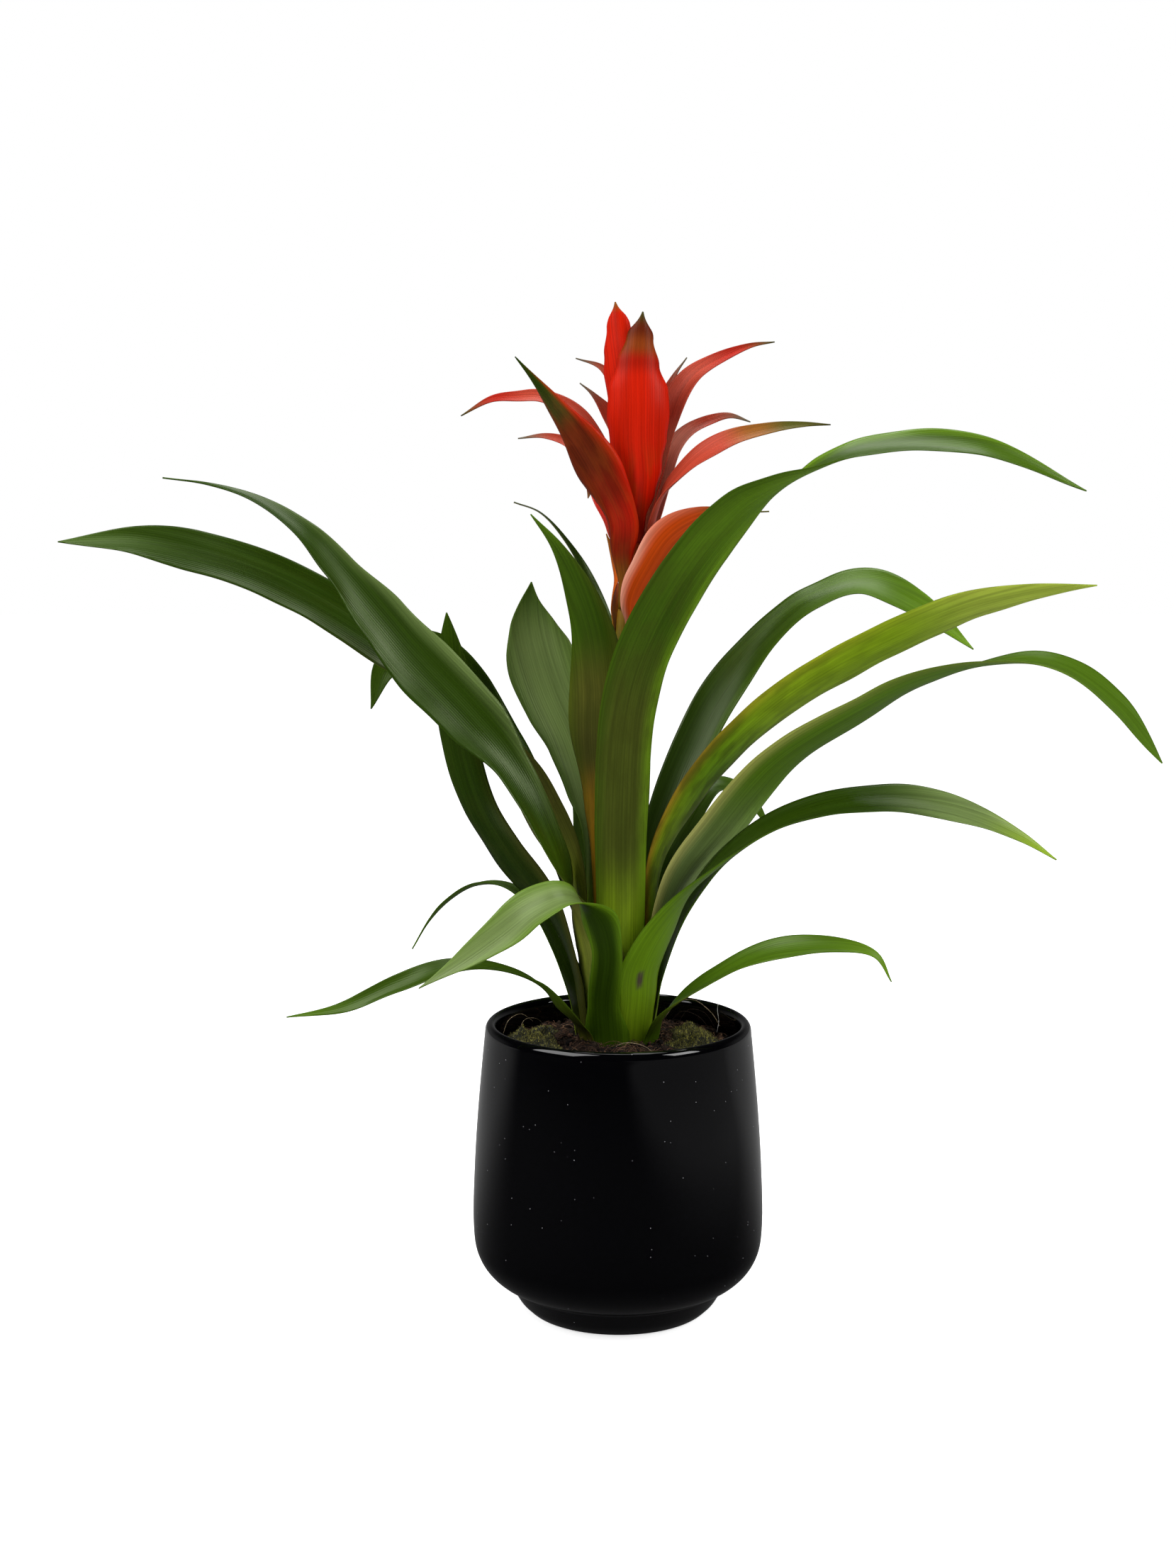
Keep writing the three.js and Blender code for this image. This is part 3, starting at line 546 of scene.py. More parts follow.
# In the leaves' paints the grey-green sage shade is a painted sheen, where light glances off the waxy faces
PAINTS = {
    # The pale foot of its under face is partly the leaf's pale base and partly a painted highlight, the
    # gloss on the sheath's foot
    "leaf_front_tall": Paint(
        under=(S.PALE, S.LIME, S.DRAB, S.DRAB, S.BOTTLE, S.GRASS, S.FRESH, S.GRASS, S.GRASS),
        upper=(S.GRASS, S.GRASS, S.GRASS, S.BOTTLE, S.BOTTLE, S.GRASS), right=S.FRESH, left=S.BOTTLE,
        margin=(0.2, 0.6, 0.9, 0.8, 0.5), blush=(0.0, 0.1, 0.45, 0.3, 0.05, 0.0, 0.0),
    ),
    "leaf_right_hooked": Paint(
        upper=(S.GRASS, S.DEEP, S.DEEP, S.DEEP, S.BOTTLE, S.GRASS, S.FRESH), left=S.GRASS,
        margin=(0.8, 0.8, 0.3),
    ),
    "leaf_right_pale": Paint(
        under=(S.LIME, S.LIME, S.LIME, S.FRESH, S.LIME, S.LIME, S.PALE, S.PALE), left=S.RUST, right=S.OLIVE,
        margin=(0.6, 0.8, 0.7, 0.3, 0.1, 0.0), blush=(0.1, 0.5, 0.5, 0.25, 0.1, 0.0),
    ),
    "leaf_right_long": Paint(
        under=(S.PALE, S.SAGE, S.SAGE, S.GRASS, S.GRASS, S.GRASS, S.GRASS, S.FRESH),
        upper=(S.GRASS, S.GRASS, S.SAGE, S.SAGE, S.GRASS, S.GRASS), left=S.STRAW,
        margin=(0.8, 0.5, 0.1, 0.0),
        blush=(0.0, 0.1, 0.0, 0.0, 0.0),
    ),
    "leaf_right_low": Paint(
        under=(S.LIME, S.FRESH, S.GRASS, S.BOTTLE, S.BOTTLE, S.GRASS),
        upper=(S.LIME, S.GRASS, S.DEEP, S.DEEP, S.DEEP, S.SAGE, S.LIME), scar=(0.155, -0.2),
    ),
    "leaf_right_short": Paint(
        upper=(S.GRASS, S.BOTTLE, S.GRASS, S.GRASS, S.FRESH), under=(S.GRASS, S.OLIVE, S.GRASS),
    ),
    "leaf_left_glossy": Paint(
        upper=(S.PALE, S.GRASS, S.BOTTLE, S.DEEP, S.DEEP, S.DEEP, S.DEEP, S.DEEP, S.BOTTLE),
        under=(S.PALE, S.OLIVE, S.DEEP, S.DEEP, S.DEEP), left=S.SAGE,
        margin=(0.8, 0.3, 0.1, 0.5, 0.8, 0.6, 0.2, 0.0),
        blush=(0.1, 0.4, 0.0, 0.0, 0.0),
    ),
    "leaf_left_far": Paint(
        upper=(S.GRASS, S.DEEP, S.DEEP, S.NIGHT, S.DEEP, S.DEEP, S.BOTTLE),
        under=(S.LIME, S.OLIVE, S.OLIVE, S.DEEP),
        right=S.BARK, margin=(0.8, 0.8, 0.3, 0.0, 0.0), blush=(0.1, 0.4, 0.2, 0.0),
    ),
    "leaf_left_hanging": Paint(
        upper=(S.GRASS, S.DEEP, S.DEEP, S.BOTTLE), under=(S.GRASS, S.DEEP, S.DEEP, S.BOTTLE),
    ),
    "leaf_left_dark": Paint(
        upper=(S.GRASS, S.NIGHT, S.DEEP, S.BOTTLE), under=(S.OLIVE, S.NIGHT, S.NIGHT, S.DEEP, S.BOTTLE),
        right=S.BARK, margin=(0.9, 0.8, 0.3, 0.0), blush=(0.2, 0.2, 0.1, 0.0),
    ),
    "leaf_left_broad": Paint(
        upper=(S.PALE, S.PALE, S.LIME, S.SAGE, S.SAGE, S.SAGE, S.SAGE, S.BOTTLE),
        under=(S.PALE, S.LIME, S.GRASS),
        left=S.GRASS, right=S.BOTTLE, margin=(0.0, 0.5, 0.9, 0.7, 0.3), blush=(0.0,),
    ),
    "leaf_left_upright": Paint(
        under=(S.BARK, S.BARK, *(S.UMBER,) * 3, S.BARK, S.OLIVE, S.BOTTLE, S.BOTTLE, S.GRASS),
        upper=(S.PALE, S.GRASS, S.DEEP, S.BOTTLE), left=S.BOTTLE, right=S.OLIVE,
        margin=(0.1, 0.1, 0.3, 0.5, 0.0),
        blush=(0.0, 0.1, 0.2, 0.3, 0.1, 0.0),
    ),
    "leaf_left_narrow": Paint(
        upper=(S.GRASS, S.BOTTLE, S.DEEP, S.DEEP), under=(S.GRASS, S.BOTTLE, S.BOTTLE, S.ASH),
    ),
    "leaf_front_folded": Paint(
        under=(S.BOTTLE, S.DEEP, S.DEEP, S.BOTTLE),
        upper=(S.GRASS, S.BOTTLE, S.BOTTLE, S.SAGE, S.SAGE, S.SAGE),
        left=S.FRESH, right=S.FRESH, margin=(0.5, 0.7, 0.2), blush=(0.0,),
    ),
    "leaf_left_lowest": Paint(
        upper=(S.GRASS, S.BOTTLE, S.BOTTLE, S.BOTTLE, S.GRASS),
        under=(S.OLIVE, S.BOTTLE, S.BOTTLE, S.GRASS),
    ),
    "bract_front_left": Paint(
        under=(S.UMBER, S.RUST, S.WINE, S.CRIMSON, S.WINE, S.MAROON, S.MAROON, S.BARK, S.DEEP, S.DEEP),
        upper=(S.ORANGE, S.SCARLET, S.RUST, S.BOTTLE), left=S.MAROON, right=S.SCARLET,
        margin=(0.2, 0.7, 0.9, 0.8, 0.0),
        blush=(0.0, 0.2, 0.2, 0.0),
    ),
    # The pink left margin of this bract is a painted highlight, the pale gloss low on its face
    "bract_lower_right": Paint(
        under=(S.ORANGE, *(S.FLAME,) * 4, S.UMBER, S.OLIVE), upper=(S.AMBER, S.ORANGE, S.OLIVE),
        left=S.LIT_PINK, margin=(0.0, 0.9, 1.0, 0.3, 0.0, 0.0), blush=(0.0, 0.1, 0.1, 0.1),
    ),
    "bract_lower_left": Paint(under=(S.AMBER, S.ORANGE, S.RUST), upper=(S.AMBER, S.ORANGE, S.RUST)),
    "bract_cone_front": Paint(
        under=(S.CORAL, S.CRIMSON, *(S.SCARLET,) * 9, S.CRIMSON, S.CHESTNUT, S.MAROON, S.BARK),
        upper=(S.SCARLET, S.SCARLET, S.OLIVE), blush=(0.1, 0.3, 0.0, 0.0, 0.0),
    ),
    "bract_cone_left": Paint(
        under=(*(S.SCARLET,) * 18, S.RUST),
        upper=(S.SCARLET, S.SCARLET), blush=(0.0,),
    ),
    # The salmon foot of this bract is painted light over the shadow that the front cone bract casts there
    "bract_right_high": Paint(
        upper=(S.LIT_SALMON, S.LIT_SALMON, S.LIT_SALMON, S.CORAL, S.CORAL, S.CRIMSON, S.BARK),
        under=(S.CRIMSON, S.CRIMSON, S.CRIMSON, S.BARK),
    ),
    "bract_right_long": Paint(
        upper=(S.OLIVE, S.CORAL, S.CORAL, S.CORAL, S.CORAL, S.RUST, S.OLIVE, S.BARK),
        under=(S.AMBER, S.CORAL, S.CORAL, S.CRIMSON, S.RUST, S.BARK),
    ),
    "bract_left_long": Paint(
        upper=(S.SCARLET, S.SCARLET, S.CORAL, S.CORAL, S.CORAL, S.CORAL, S.CRIMSON, S.BARK),
        under=(S.CRIMSON, S.CRIMSON, S.BARK),
    ),
    **dict.fromkeys(SMALL_BRACTS, SMALL_BRACT),
}


@dataclass(frozen=True, kw_only=True)
class Blade:
    """One leaf or bract: a strip that clasps the stalk at its foot and opens to a shallow channel."""

    ROW: ClassVar[float] = 2.2
    COLUMNS: ClassVar[int] = 17
    WIDEST_WRAP: ClassVar[float] = np.radians(130.0)
    TIP_WIDTH: ClassVar[float] = 0.5
    WAVE: ClassVar[float] = 46.0
    MIDDLE_SWING: ClassVar[float] = 0.15
    MARGIN_SWING: ClassVar[float] = 0.75
    THIN_MARGIN: ClassVar[float] = 0.45
    UV_PLACES: ClassVar[int] = 97
    UV_STEP: ClassVar[float] = 0.013
    THICK: ClassVar[float]
    CHANNEL: ClassVar[float]
    TIP: ClassVar[float]
    TIP_POWER: ClassVar[float]
    SLOT: ClassVar[str]
    PLAIN: ClassVar[Paint]
    FINISHES: ClassVar[tuple[BladeFinish, BladeFinish]]
    CLASP_END: ClassVar[float] = 1.6
    CLASP_MORE: ClassVar[float] = 0.05
    skins: ClassVar[tuple[bpy.types.Material, ...]] = ()

    name: str = field(kw_only=False)
    bearing: float
    width: tuple[float, ...]
    path: tuple[Point, ...]
    upper: tuple[Point, ...] = ((0, 0, 1),)
    sheath: float | None = None
    channel: float | None = None
    tip: float | None = None

    def foot_points(self) -> np.ndarray:
        """Points of the midrib where the blade clasps the stalk."""
        raise NotImplementedError

    def surface(self, along: np.ndarray, across: np.ndarray) -> tuple[np.ndarray, np.ndarray, np.ndarray]:
        """Works out the blade's middle surface.

        The midrib is a curve through the foot and the path. At each place the face is turned to the list
        upper, and the cross-section is an arc of the local width: round the stalk at the foot, and a channel
        beyond it. A point is at + right * bend * sin(turn) + face * bend * (1 - cos(turn)).

        Args:
            along: Shares of the length.
            across: Places across, from -1 to 1.

        Returns:
            The points and their unit normals, by row and column, and the width of each row.
        """
        foot = self.foot_points()
        midrib = Curve(np.vstack([foot, self.path]))
        inward = round_stalk(self.bearing, np.array(-1.0), np.array(0.0))
        looks = Curve(np.vstack([inward, self.upper]))
        last = round(Curve.TABLE * (len(foot) - 1) / (midrib.count - 1))
        clasped = midrib.lengths[last] / midrib.lengths[-1]
        share = midrib.by_length(along)
        at = midrib.at(share)
        clasp = 1.0 - smooth(along, clasped, clasped * self.CLASP_END + self.CLASP_MORE)
        radius = np.hypot(at[:, 0] - lean(at[:, 2]), at[:, 1])
        course = unit(mix(midrib.course(share), UP, clasp[:, None]))
        out = np.maximum(0.0, along - clasped) / (1.0 - clasped)
        look = looks.at(out)
        face = unit(look - course * (look * course).sum(1, keepdims=True))
        right = np.cross(face, course)
        tip = self.tip or self.TIP
        taper = 1.0 - np.maximum(0.0, (along - 1.0 + tip) / tip) ** self.TIP_POWER
        widths = np.array(self.width, float)
        in_sheath = mix(self.sheath or widths[0], widths[0], smooth(along, clasped / 2, clasped))
        full = np.where(along < clasped, in_sheath, spread(widths, out))
        width = mix(self.TIP_WIDTH, np.minimum(full, self.WIDEST_WRAP * radius), taper)
        wrap = mix(np.radians(self.channel or self.CHANNEL), width / radius, clasp)
        bend = (width / wrap)[:, None]
        turn = wrap[:, None] * across[None] / 2
        sin, cos = np.sin(turn)[..., None], np.cos(turn)[..., None]
        face, right, bend = face[:, None], right[:, None], bend[..., None]
        points = at[:, None] + right * bend * sin + face * bend * (1.0 - cos)
        return points, face * cos - right * sin, width

    def build(self) -> bpy.types.Object:
        """Makes the blade as a thin solid with thinner, wavy margins, and dresses it.

        Returns:
            The piece.
        """
        length = Curve(np.vstack([self.foot_points(), self.path])).lengths[-1]
        along = np.linspace(0.0, 1.0, round(length / self.ROW) + 1)
        across = np.linspace(-1.0, 1.0, self.COLUMNS)
        points, normals, width = self.surface(along, across)
        rows, columns = points.shape[:2]
        seed = sum(map(ord, self.name))
        flat = points.reshape(-1, 3)
        wave = ripple(flat, self.WAVE, seed, 2).reshape(rows, columns, 1)
        free = smooth(along, 0.3, 0.5)[:, None, None] * (width / width.max())[:, None, None]
        swing = mix(self.MIDDLE_SWING, self.MARGIN_SWING, np.abs(across) ** 3)[None, :, None]
        points = points + normals * wave * free * swing
        thick = self.THICK * mix(1.0, self.THIN_MARGIN, np.abs(across) ** 4)[None, :, None] / 2
        both = np.concatenate([(points + side * normals * thick).reshape(-1, 3) for side in (1, -1)])
        paint = PAINTS.get(self.name, self.PLAIN)
        tint = np.concatenate([paint.tint(along, across, over) for over in (True, False)])
        uv = np.stack(np.broadcast_arrays(width[:, None] * across[None] / 2, length * along[:, None]), -1)
        uv = uv.reshape(-1, 2) * MM + (seed % self.UV_PLACES) * self.UV_STEP
        blush = np.repeat(spread(np.array(paint.blush), along), columns)
        faces = shell(rows, columns)
        piece = piece_of(f"{self.name}_skin", both, faces, tint, np.tile(uv, (2, 1)),
                         blush=np.concatenate([blush * 0.5, blush]))
        upper_skin, under_skin = self.materials()
        piece.data.materials.append(upper_skin)
        is_under = np.arange(len(faces)) >= (rows - 1) * (columns - 1)
        piece.data.polygons.foreach_set("material_index", is_under.astype(np.int32))
        return dress(piece, under_skin, self.SLOT, self.name)

    @classmethod
    def materials(cls) -> tuple[bpy.types.Material, ...]:
        """Makes the kind's skins at their first use.

        Returns:
            The skins of the upper and the under face.
        """
        if not cls.skins:
            cls.skins = tuple(finish.build() for finish in cls.FINISHES)
        return cls.skins


@dataclass(frozen=True, kw_only=True)
class Leaf(Blade):
    """A foliage leaf. Its sheath stands on a ring round the stem, counted outwards, up to the height top."""

    THICK: ClassVar[float] = 0.8
    CHANNEL: ClassVar[float] = 50.0
    TIP: ClassVar[float] = 0.3
    TIP_POWER: ClassVar[float] = 1.5
    SLOT: ClassVar[str] = "leaf"
    PLAIN: ClassVar[Paint] = PLAIN_LEAF
    FINISHES: ClassVar[tuple[BladeFinish, BladeFinish]] = (
        BladeFinish("leaf_upper", 0.32, 0.30), BladeFinish("leaf_under", 0.46, 0.08),
    )
    SHEATH_FOOT: ClassVar[float] = 127.0
    SHEATH_STEP: ClassVar[float] = 15.0
    INNER_RING: ClassVar[float] = 7.0
    RING_STEP: ClassVar[float] = 1.15
    FLARE_HEIGHT: ClassVar[float] = 62.0
    FLARE: ClassVar[float] = 0.58
    FLARE_POWER: ClassVar[float] = 1.3

    ring: int
    top: float

    def foot_points(self) -> np.ndarray:
        """The sheath: its ring's radius times 1 + flare * (rise / height) ^ power, every 15 mm or so.

        Returns:
            Points of the midrib, one a row.
        """
        steps = round((self.top - self.SHEATH_FOOT) / self.SHEATH_STEP)
        height = np.linspace(self.SHEATH_FOOT, self.top, steps + 1)
        flare = 1.0 + self.FLARE * ((height - self.SHEATH_FOOT) / self.FLARE_HEIGHT) ** self.FLARE_POWER
        return round_stalk(self.bearing, (self.INNER_RING + self.RING_STEP * self.ring) * flare, height)


@dataclass(frozen=True, kw_only=True)
class Bract(Blade):
    """A bract. It starts on the stalk at the height foot."""

    ROW: ClassVar[float] = 1.3
    COLUMNS: ClassVar[int] = 15
    THICK: ClassVar[float] = 0.7
    CHANNEL: ClassVar[float] = 60.0
    TIP: ClassVar[float] = 0.5
    TIP_POWER: ClassVar[float] = 1.3
    SLOT: ClassVar[str] = "bract"
    PLAIN: ClassVar[Paint] = PLAIN_BRACT
    FINISHES: ClassVar[tuple[BladeFinish, BladeFinish]] = (
        BladeFinish("bract_upper", 0.38, 0.22, (1.0, 0.6, 0.5), (0.30, 0.05, 0.005)),
        BladeFinish("bract_under", 0.36, 0.12, (1.0, 0.6, 0.5), (0.30, 0.05, 0.005)),
    )
    FOOT_GAP: ClassVar[float] = 0.7
    SPREAD: ClassVar[float] = 0.22
    CLASPED: ClassVar[float] = 12.0

    foot: float

    def foot_points(self) -> np.ndarray:
        """The foot leaves the stalk evenly: radius = stalk + gap + spread * rise."""
        rise = np.array([0.0, 0.5, 1.0]) * self.CLASPED
        return round_stalk(self.bearing, SCAPE_RADIUS + self.FOOT_GAP + self.SPREAD * rise, self.foot + rise)


LEAVES = (
    Leaf("leaf_front_tall", bearing=-87, ring=4, top=205, sheath=22, tip=0.3,
         width=(25, 27, 29, 28, 26, 24),
         path=((1, -25, 254), (4, -32, 303), (12, -38, 333), (33, -46, 372), (58, -52, 401), (84, -56, 416),
          (111, -58, 427), (163, -58, 429), (213, -58, 409)),
         upper=((0, 1, 0.1), (-0.2, 1, 0.2), (-0.4, 1, 0.5), (-0.3, -0.1, 1), (0, -0.7, 0.8),
          (0.2, -0.9, 0.5))),
    Leaf("leaf_right_hooked", bearing=38, ring=2, top=200, sheath=16, tip=0.2, width=(16, 22, 24, 27, 25),
         path=((18, 16, 228), (27, 21, 255), (38, 28, 281), (53, 35, 308), (76, 40, 335), (98, 42, 353),
          (124, 42, 361), (149, 38, 352), (178, 30, 330)),
         upper=((-0.5, -1, 0.2), (-0.5, -0.4, 0.8), (0, -0.8, 0.8))),
    Leaf("leaf_right_pale", bearing=-13, ring=3, top=195, sheath=13, tip=0.22, width=(17, 24, 24, 22, 18),
         path=((20, -7, 228), (32, -8, 254), (51, -8, 280), (79, -9, 306), (118, -10, 330), (164, -12, 351),
          (198, -12, 360), (229, -14, 364)),
         upper=((-0.5, 0.8, 0.5), (-0.3, 1, 0.6), (0, 0.9, 0.7))),
    Leaf("leaf_right_long", bearing=-14, ring=5, top=185, sheath=20, channel=32, tip=0.15,
         width=(24, 28, 26, 24, 28),
         path=((31, -12, 220), (48, -16, 243), (76, -22, 278), (110, -26, 301), (144, -29, 319),
          (176, -30, 327), (207, -30, 327), (236, -30, 308), (259, -30, 280)),
         upper=((-0.5, 0.9, 0.4), (-0.3, 0.6, 0.7), (-0.1, 0.4, 1), (0.4, -0.4, 1), (0.7, -0.8, 0.4))),
    Leaf("leaf_right_low", bearing=-52, ring=7, top=178, sheath=24, tip=0.3, width=(28, 30, 26, 26, 20),
         path=((32, -24, 213), (51, -30, 233), (68, -34, 247), (98, -38, 259), (130, -38, 262),
          (162, -36, 257), (191, -34, 245), (209, -34, 234)),
         upper=((-0.5, 0, 0.8), (0, -0.3, 1), (0.2, -0.55, 0.9), (0.3, -0.8, 0.8))),
    Leaf("leaf_right_short", bearing=-38, ring=11, top=140, sheath=13, tip=0.35, width=(13, 16, 14, 12, 8),
         path=((23, -26, 157), (45, -34, 176), (72, -42, 191), (102, -48, 195), (121, -50, 191),
          (129, -50, 178)),
         upper=((-0.3, -0.3, 1), (0, -0.7, 0.7), (0.3, -0.8, 0.5))),
    Leaf("leaf_right_sheath", bearing=14, ring=8, top=168, sheath=18, tip=0.35, width=(18, 16, 15, 14, 10),
         path=((30, 14, 190), (42, 24, 208), (58, 36, 224), (80, 46, 236), (105, 54, 242), (126, 60, 244))),
    Leaf("leaf_right_behind", bearing=55, ring=6, top=190, sheath=20, tip=0.3, width=(22, 20, 18, 18, 14),
         path=((24, 24, 218), (34, 32, 240), (48, 44, 258), (62, 52, 256), (73, 57, 245), (79, 58, 234)),
         upper=((-0.4, -0.5, 0.8), (0, -0.7, 0.7))),
    Leaf("leaf_left_glossy", bearing=-125, ring=6, top=186, sheath=29, tip=0.2,
         width=(31, 27, 19, 20, 31, 33, 27, 18, 14, 11, 8),
         path=((-24, -17, 215), (-33, -18, 238), (-43, -18, 260), (-56, -16, 282), (-74, -14, 303),
          (-100, -12, 330), (-115, -12, 348), (-137, -12, 374), (-152, -12, 390), (-175, -12, 405),
          (-197, -12, 412), (-218, -12, 415)),
         upper=((0.6, -0.6, 0.6), (0.3, -1, 0.3), (0.3, -1, 0.4), (0, -0.5, 1), (0, 0, 1))),
    Leaf("leaf_left_far", bearing=174, ring=3, top=195, sheath=20, tip=0.16,
         width=(20, 28, 26, 26, 25, 23, 19),
         path=((-22, 1, 215), (-30, 1, 234), (-39, 2, 252), (-49, 3, 271), (-68, 5, 294), (-95, 8, 319),
          (-133, 12, 346), (-170, 13, 366), (-202, 14, 377), (-236, 14, 384), (-275, 14, 384)),
         upper=((0.5, 0.8, 0.4), (0.4, 0.4, 0.9), (0.2, -1, 0.6), (0, -1, 0.6), (0, -0.9, 0.5),
          (0, -0.9, 0.5))),
    Leaf("leaf_left_hanging", bearing=136, ring=5, top=188, sheath=16, tip=0.2,
         width=(15, 15, 18, 24, 26, 26, 22),
         path=((-26, 20, 218), (-38, 26, 245), (-51, 32, 273), (-72, 38, 303), (-86, 40, 320),
          (-100, 38, 328), (-116, 33, 321), (-124, 30, 300)),
         upper=((0.5, -0.5, 0.5), (0.3, -0.4, 0.8), (-0.2, -0.9, 0.4), (0, -1, 0.2))),
    Leaf("leaf_left_dark", bearing=181, ring=8, top=172, sheath=23, tip=0.16, width=(26, 22, 19, 20, 20),
         path=((-36, -3, 206), (-56, 4, 231), (-69, 14, 251), (-77, 19, 274), (-81, 22, 295),
          (-83, 22, 320), (-85, 20, 349)),
         upper=((0.3, 1, 0.2), (0.1, 1, 0.1))),
    Leaf("leaf_left_broad", bearing=160, ring=2, top=200, sheath=13, tip=0.14,
         width=(13, 16, 21, 25, 27, 33, 36, 31, 22),
         path=((-12, 12, 242), (-16, 15, 262), (-23, 18, 285), (-34, 22, 310), (-42, 24, 336),
          (-44, 24, 352), (-43, 22, 364)),
         upper=((0.3, -1, 0), (0.2, -1, 0))),
    Leaf("leaf_left_upright", bearing=-135, ring=0, top=210, sheath=11, tip=0.4, width=(12, 24, 32, 29, 18),
         path=((-8, -9, 260), (-10, -10, 289), (-10, -13, 315), (-13, -17, 341), (-20, -21, 363),
          (-30, -25, 383), (-42, -28, 398)),
         upper=((0.2, 1, 0), (0.2, 1, 0.2))),
    Leaf("leaf_left_narrow", bearing=105, ring=1, top=200, sheath=11, tip=0.4, width=(12, 14, 13, 12, 8),
         path=((-2, 22, 240), (-1, 27, 275), (-2, 27, 313), (-5, 27, 335), (-13, 29, 361), (-26, 32, 384),
          (-39, 35, 398), (-52, 36, 403))),
    Leaf("leaf_left_small", bearing=158, ring=11, top=158, sheath=14, tip=0.35, width=(16, 13, 12, 11, 8),
         path=((-32, 10, 183), (-43, 12, 202), (-56, 16, 212), (-72, 24, 211), (-86, 30, 202),
          (-96, 34, 191), (-105, 36, 176))),
    Leaf("leaf_left_lowest", bearing=-148, ring=10, top=142, sheath=14, tip=0.35, width=(14, 12, 12, 11, 7),
         path=((-28, -26, 159), (-38, -28, 171), (-56, -29, 179), (-81, -31, 181), (-106, -33, 173),
          (-134, -36, 162), (-160, -38, 158)),
         upper=((0, 0, 1), (0, -0.8, 0.7), (0, -0.9, 0.5))),
    Leaf("leaf_front_folded", bearing=-111, ring=9, top=160, sheath=25, tip=0.45,
         width=(17, 15, 22, 26, 24, 16),
         path=((-6, -34, 190), (-12, -42, 209), (-24, -47, 218), (-40, -48, 213), (-57, -46, 200),
          (-76, -44, 186), (-96, -42, 173)),
         upper=((-0.1, 0.6, 1), (0, -0.5, 0.8), (0, -0.9, 0.5), (0, -0.8, 0.6))),
    Leaf("leaf_back_tall", bearing=95, ring=4, top=200, sheath=16, width=(26, 28, 28, 26, 20),
         path=((2, 28, 250), (3, 42, 298), (4, 75, 325), (4, 120, 328), (3, 170, 312), (2, 215, 285))),
    Leaf("leaf_back_left", bearing=118, ring=7, top=182, sheath=18, width=(20, 20, 22, 20, 14),
         path=((-15, 41, 228), (-15, 70, 258), (-20, 108, 276), (-27, 145, 272), (-31, 170, 250))),
    Leaf("leaf_back_right", bearing=76, ring=9, top=172, sheath=18, width=(22, 20, 19, 17, 12),
         path=((16, 38, 212), (26, 58, 244), (38, 85, 272), (48, 115, 287), (56, 150, 282))),
    Leaf("leaf_back_low", bearing=100, ring=10, top=160, sheath=20, channel=40, width=(34, 28, 26, 24, 16),
         path=((-6, 42, 190), (-12, 80, 215), (-18, 125, 222), (-24, 170, 205), (-28, 200, 175))),
)
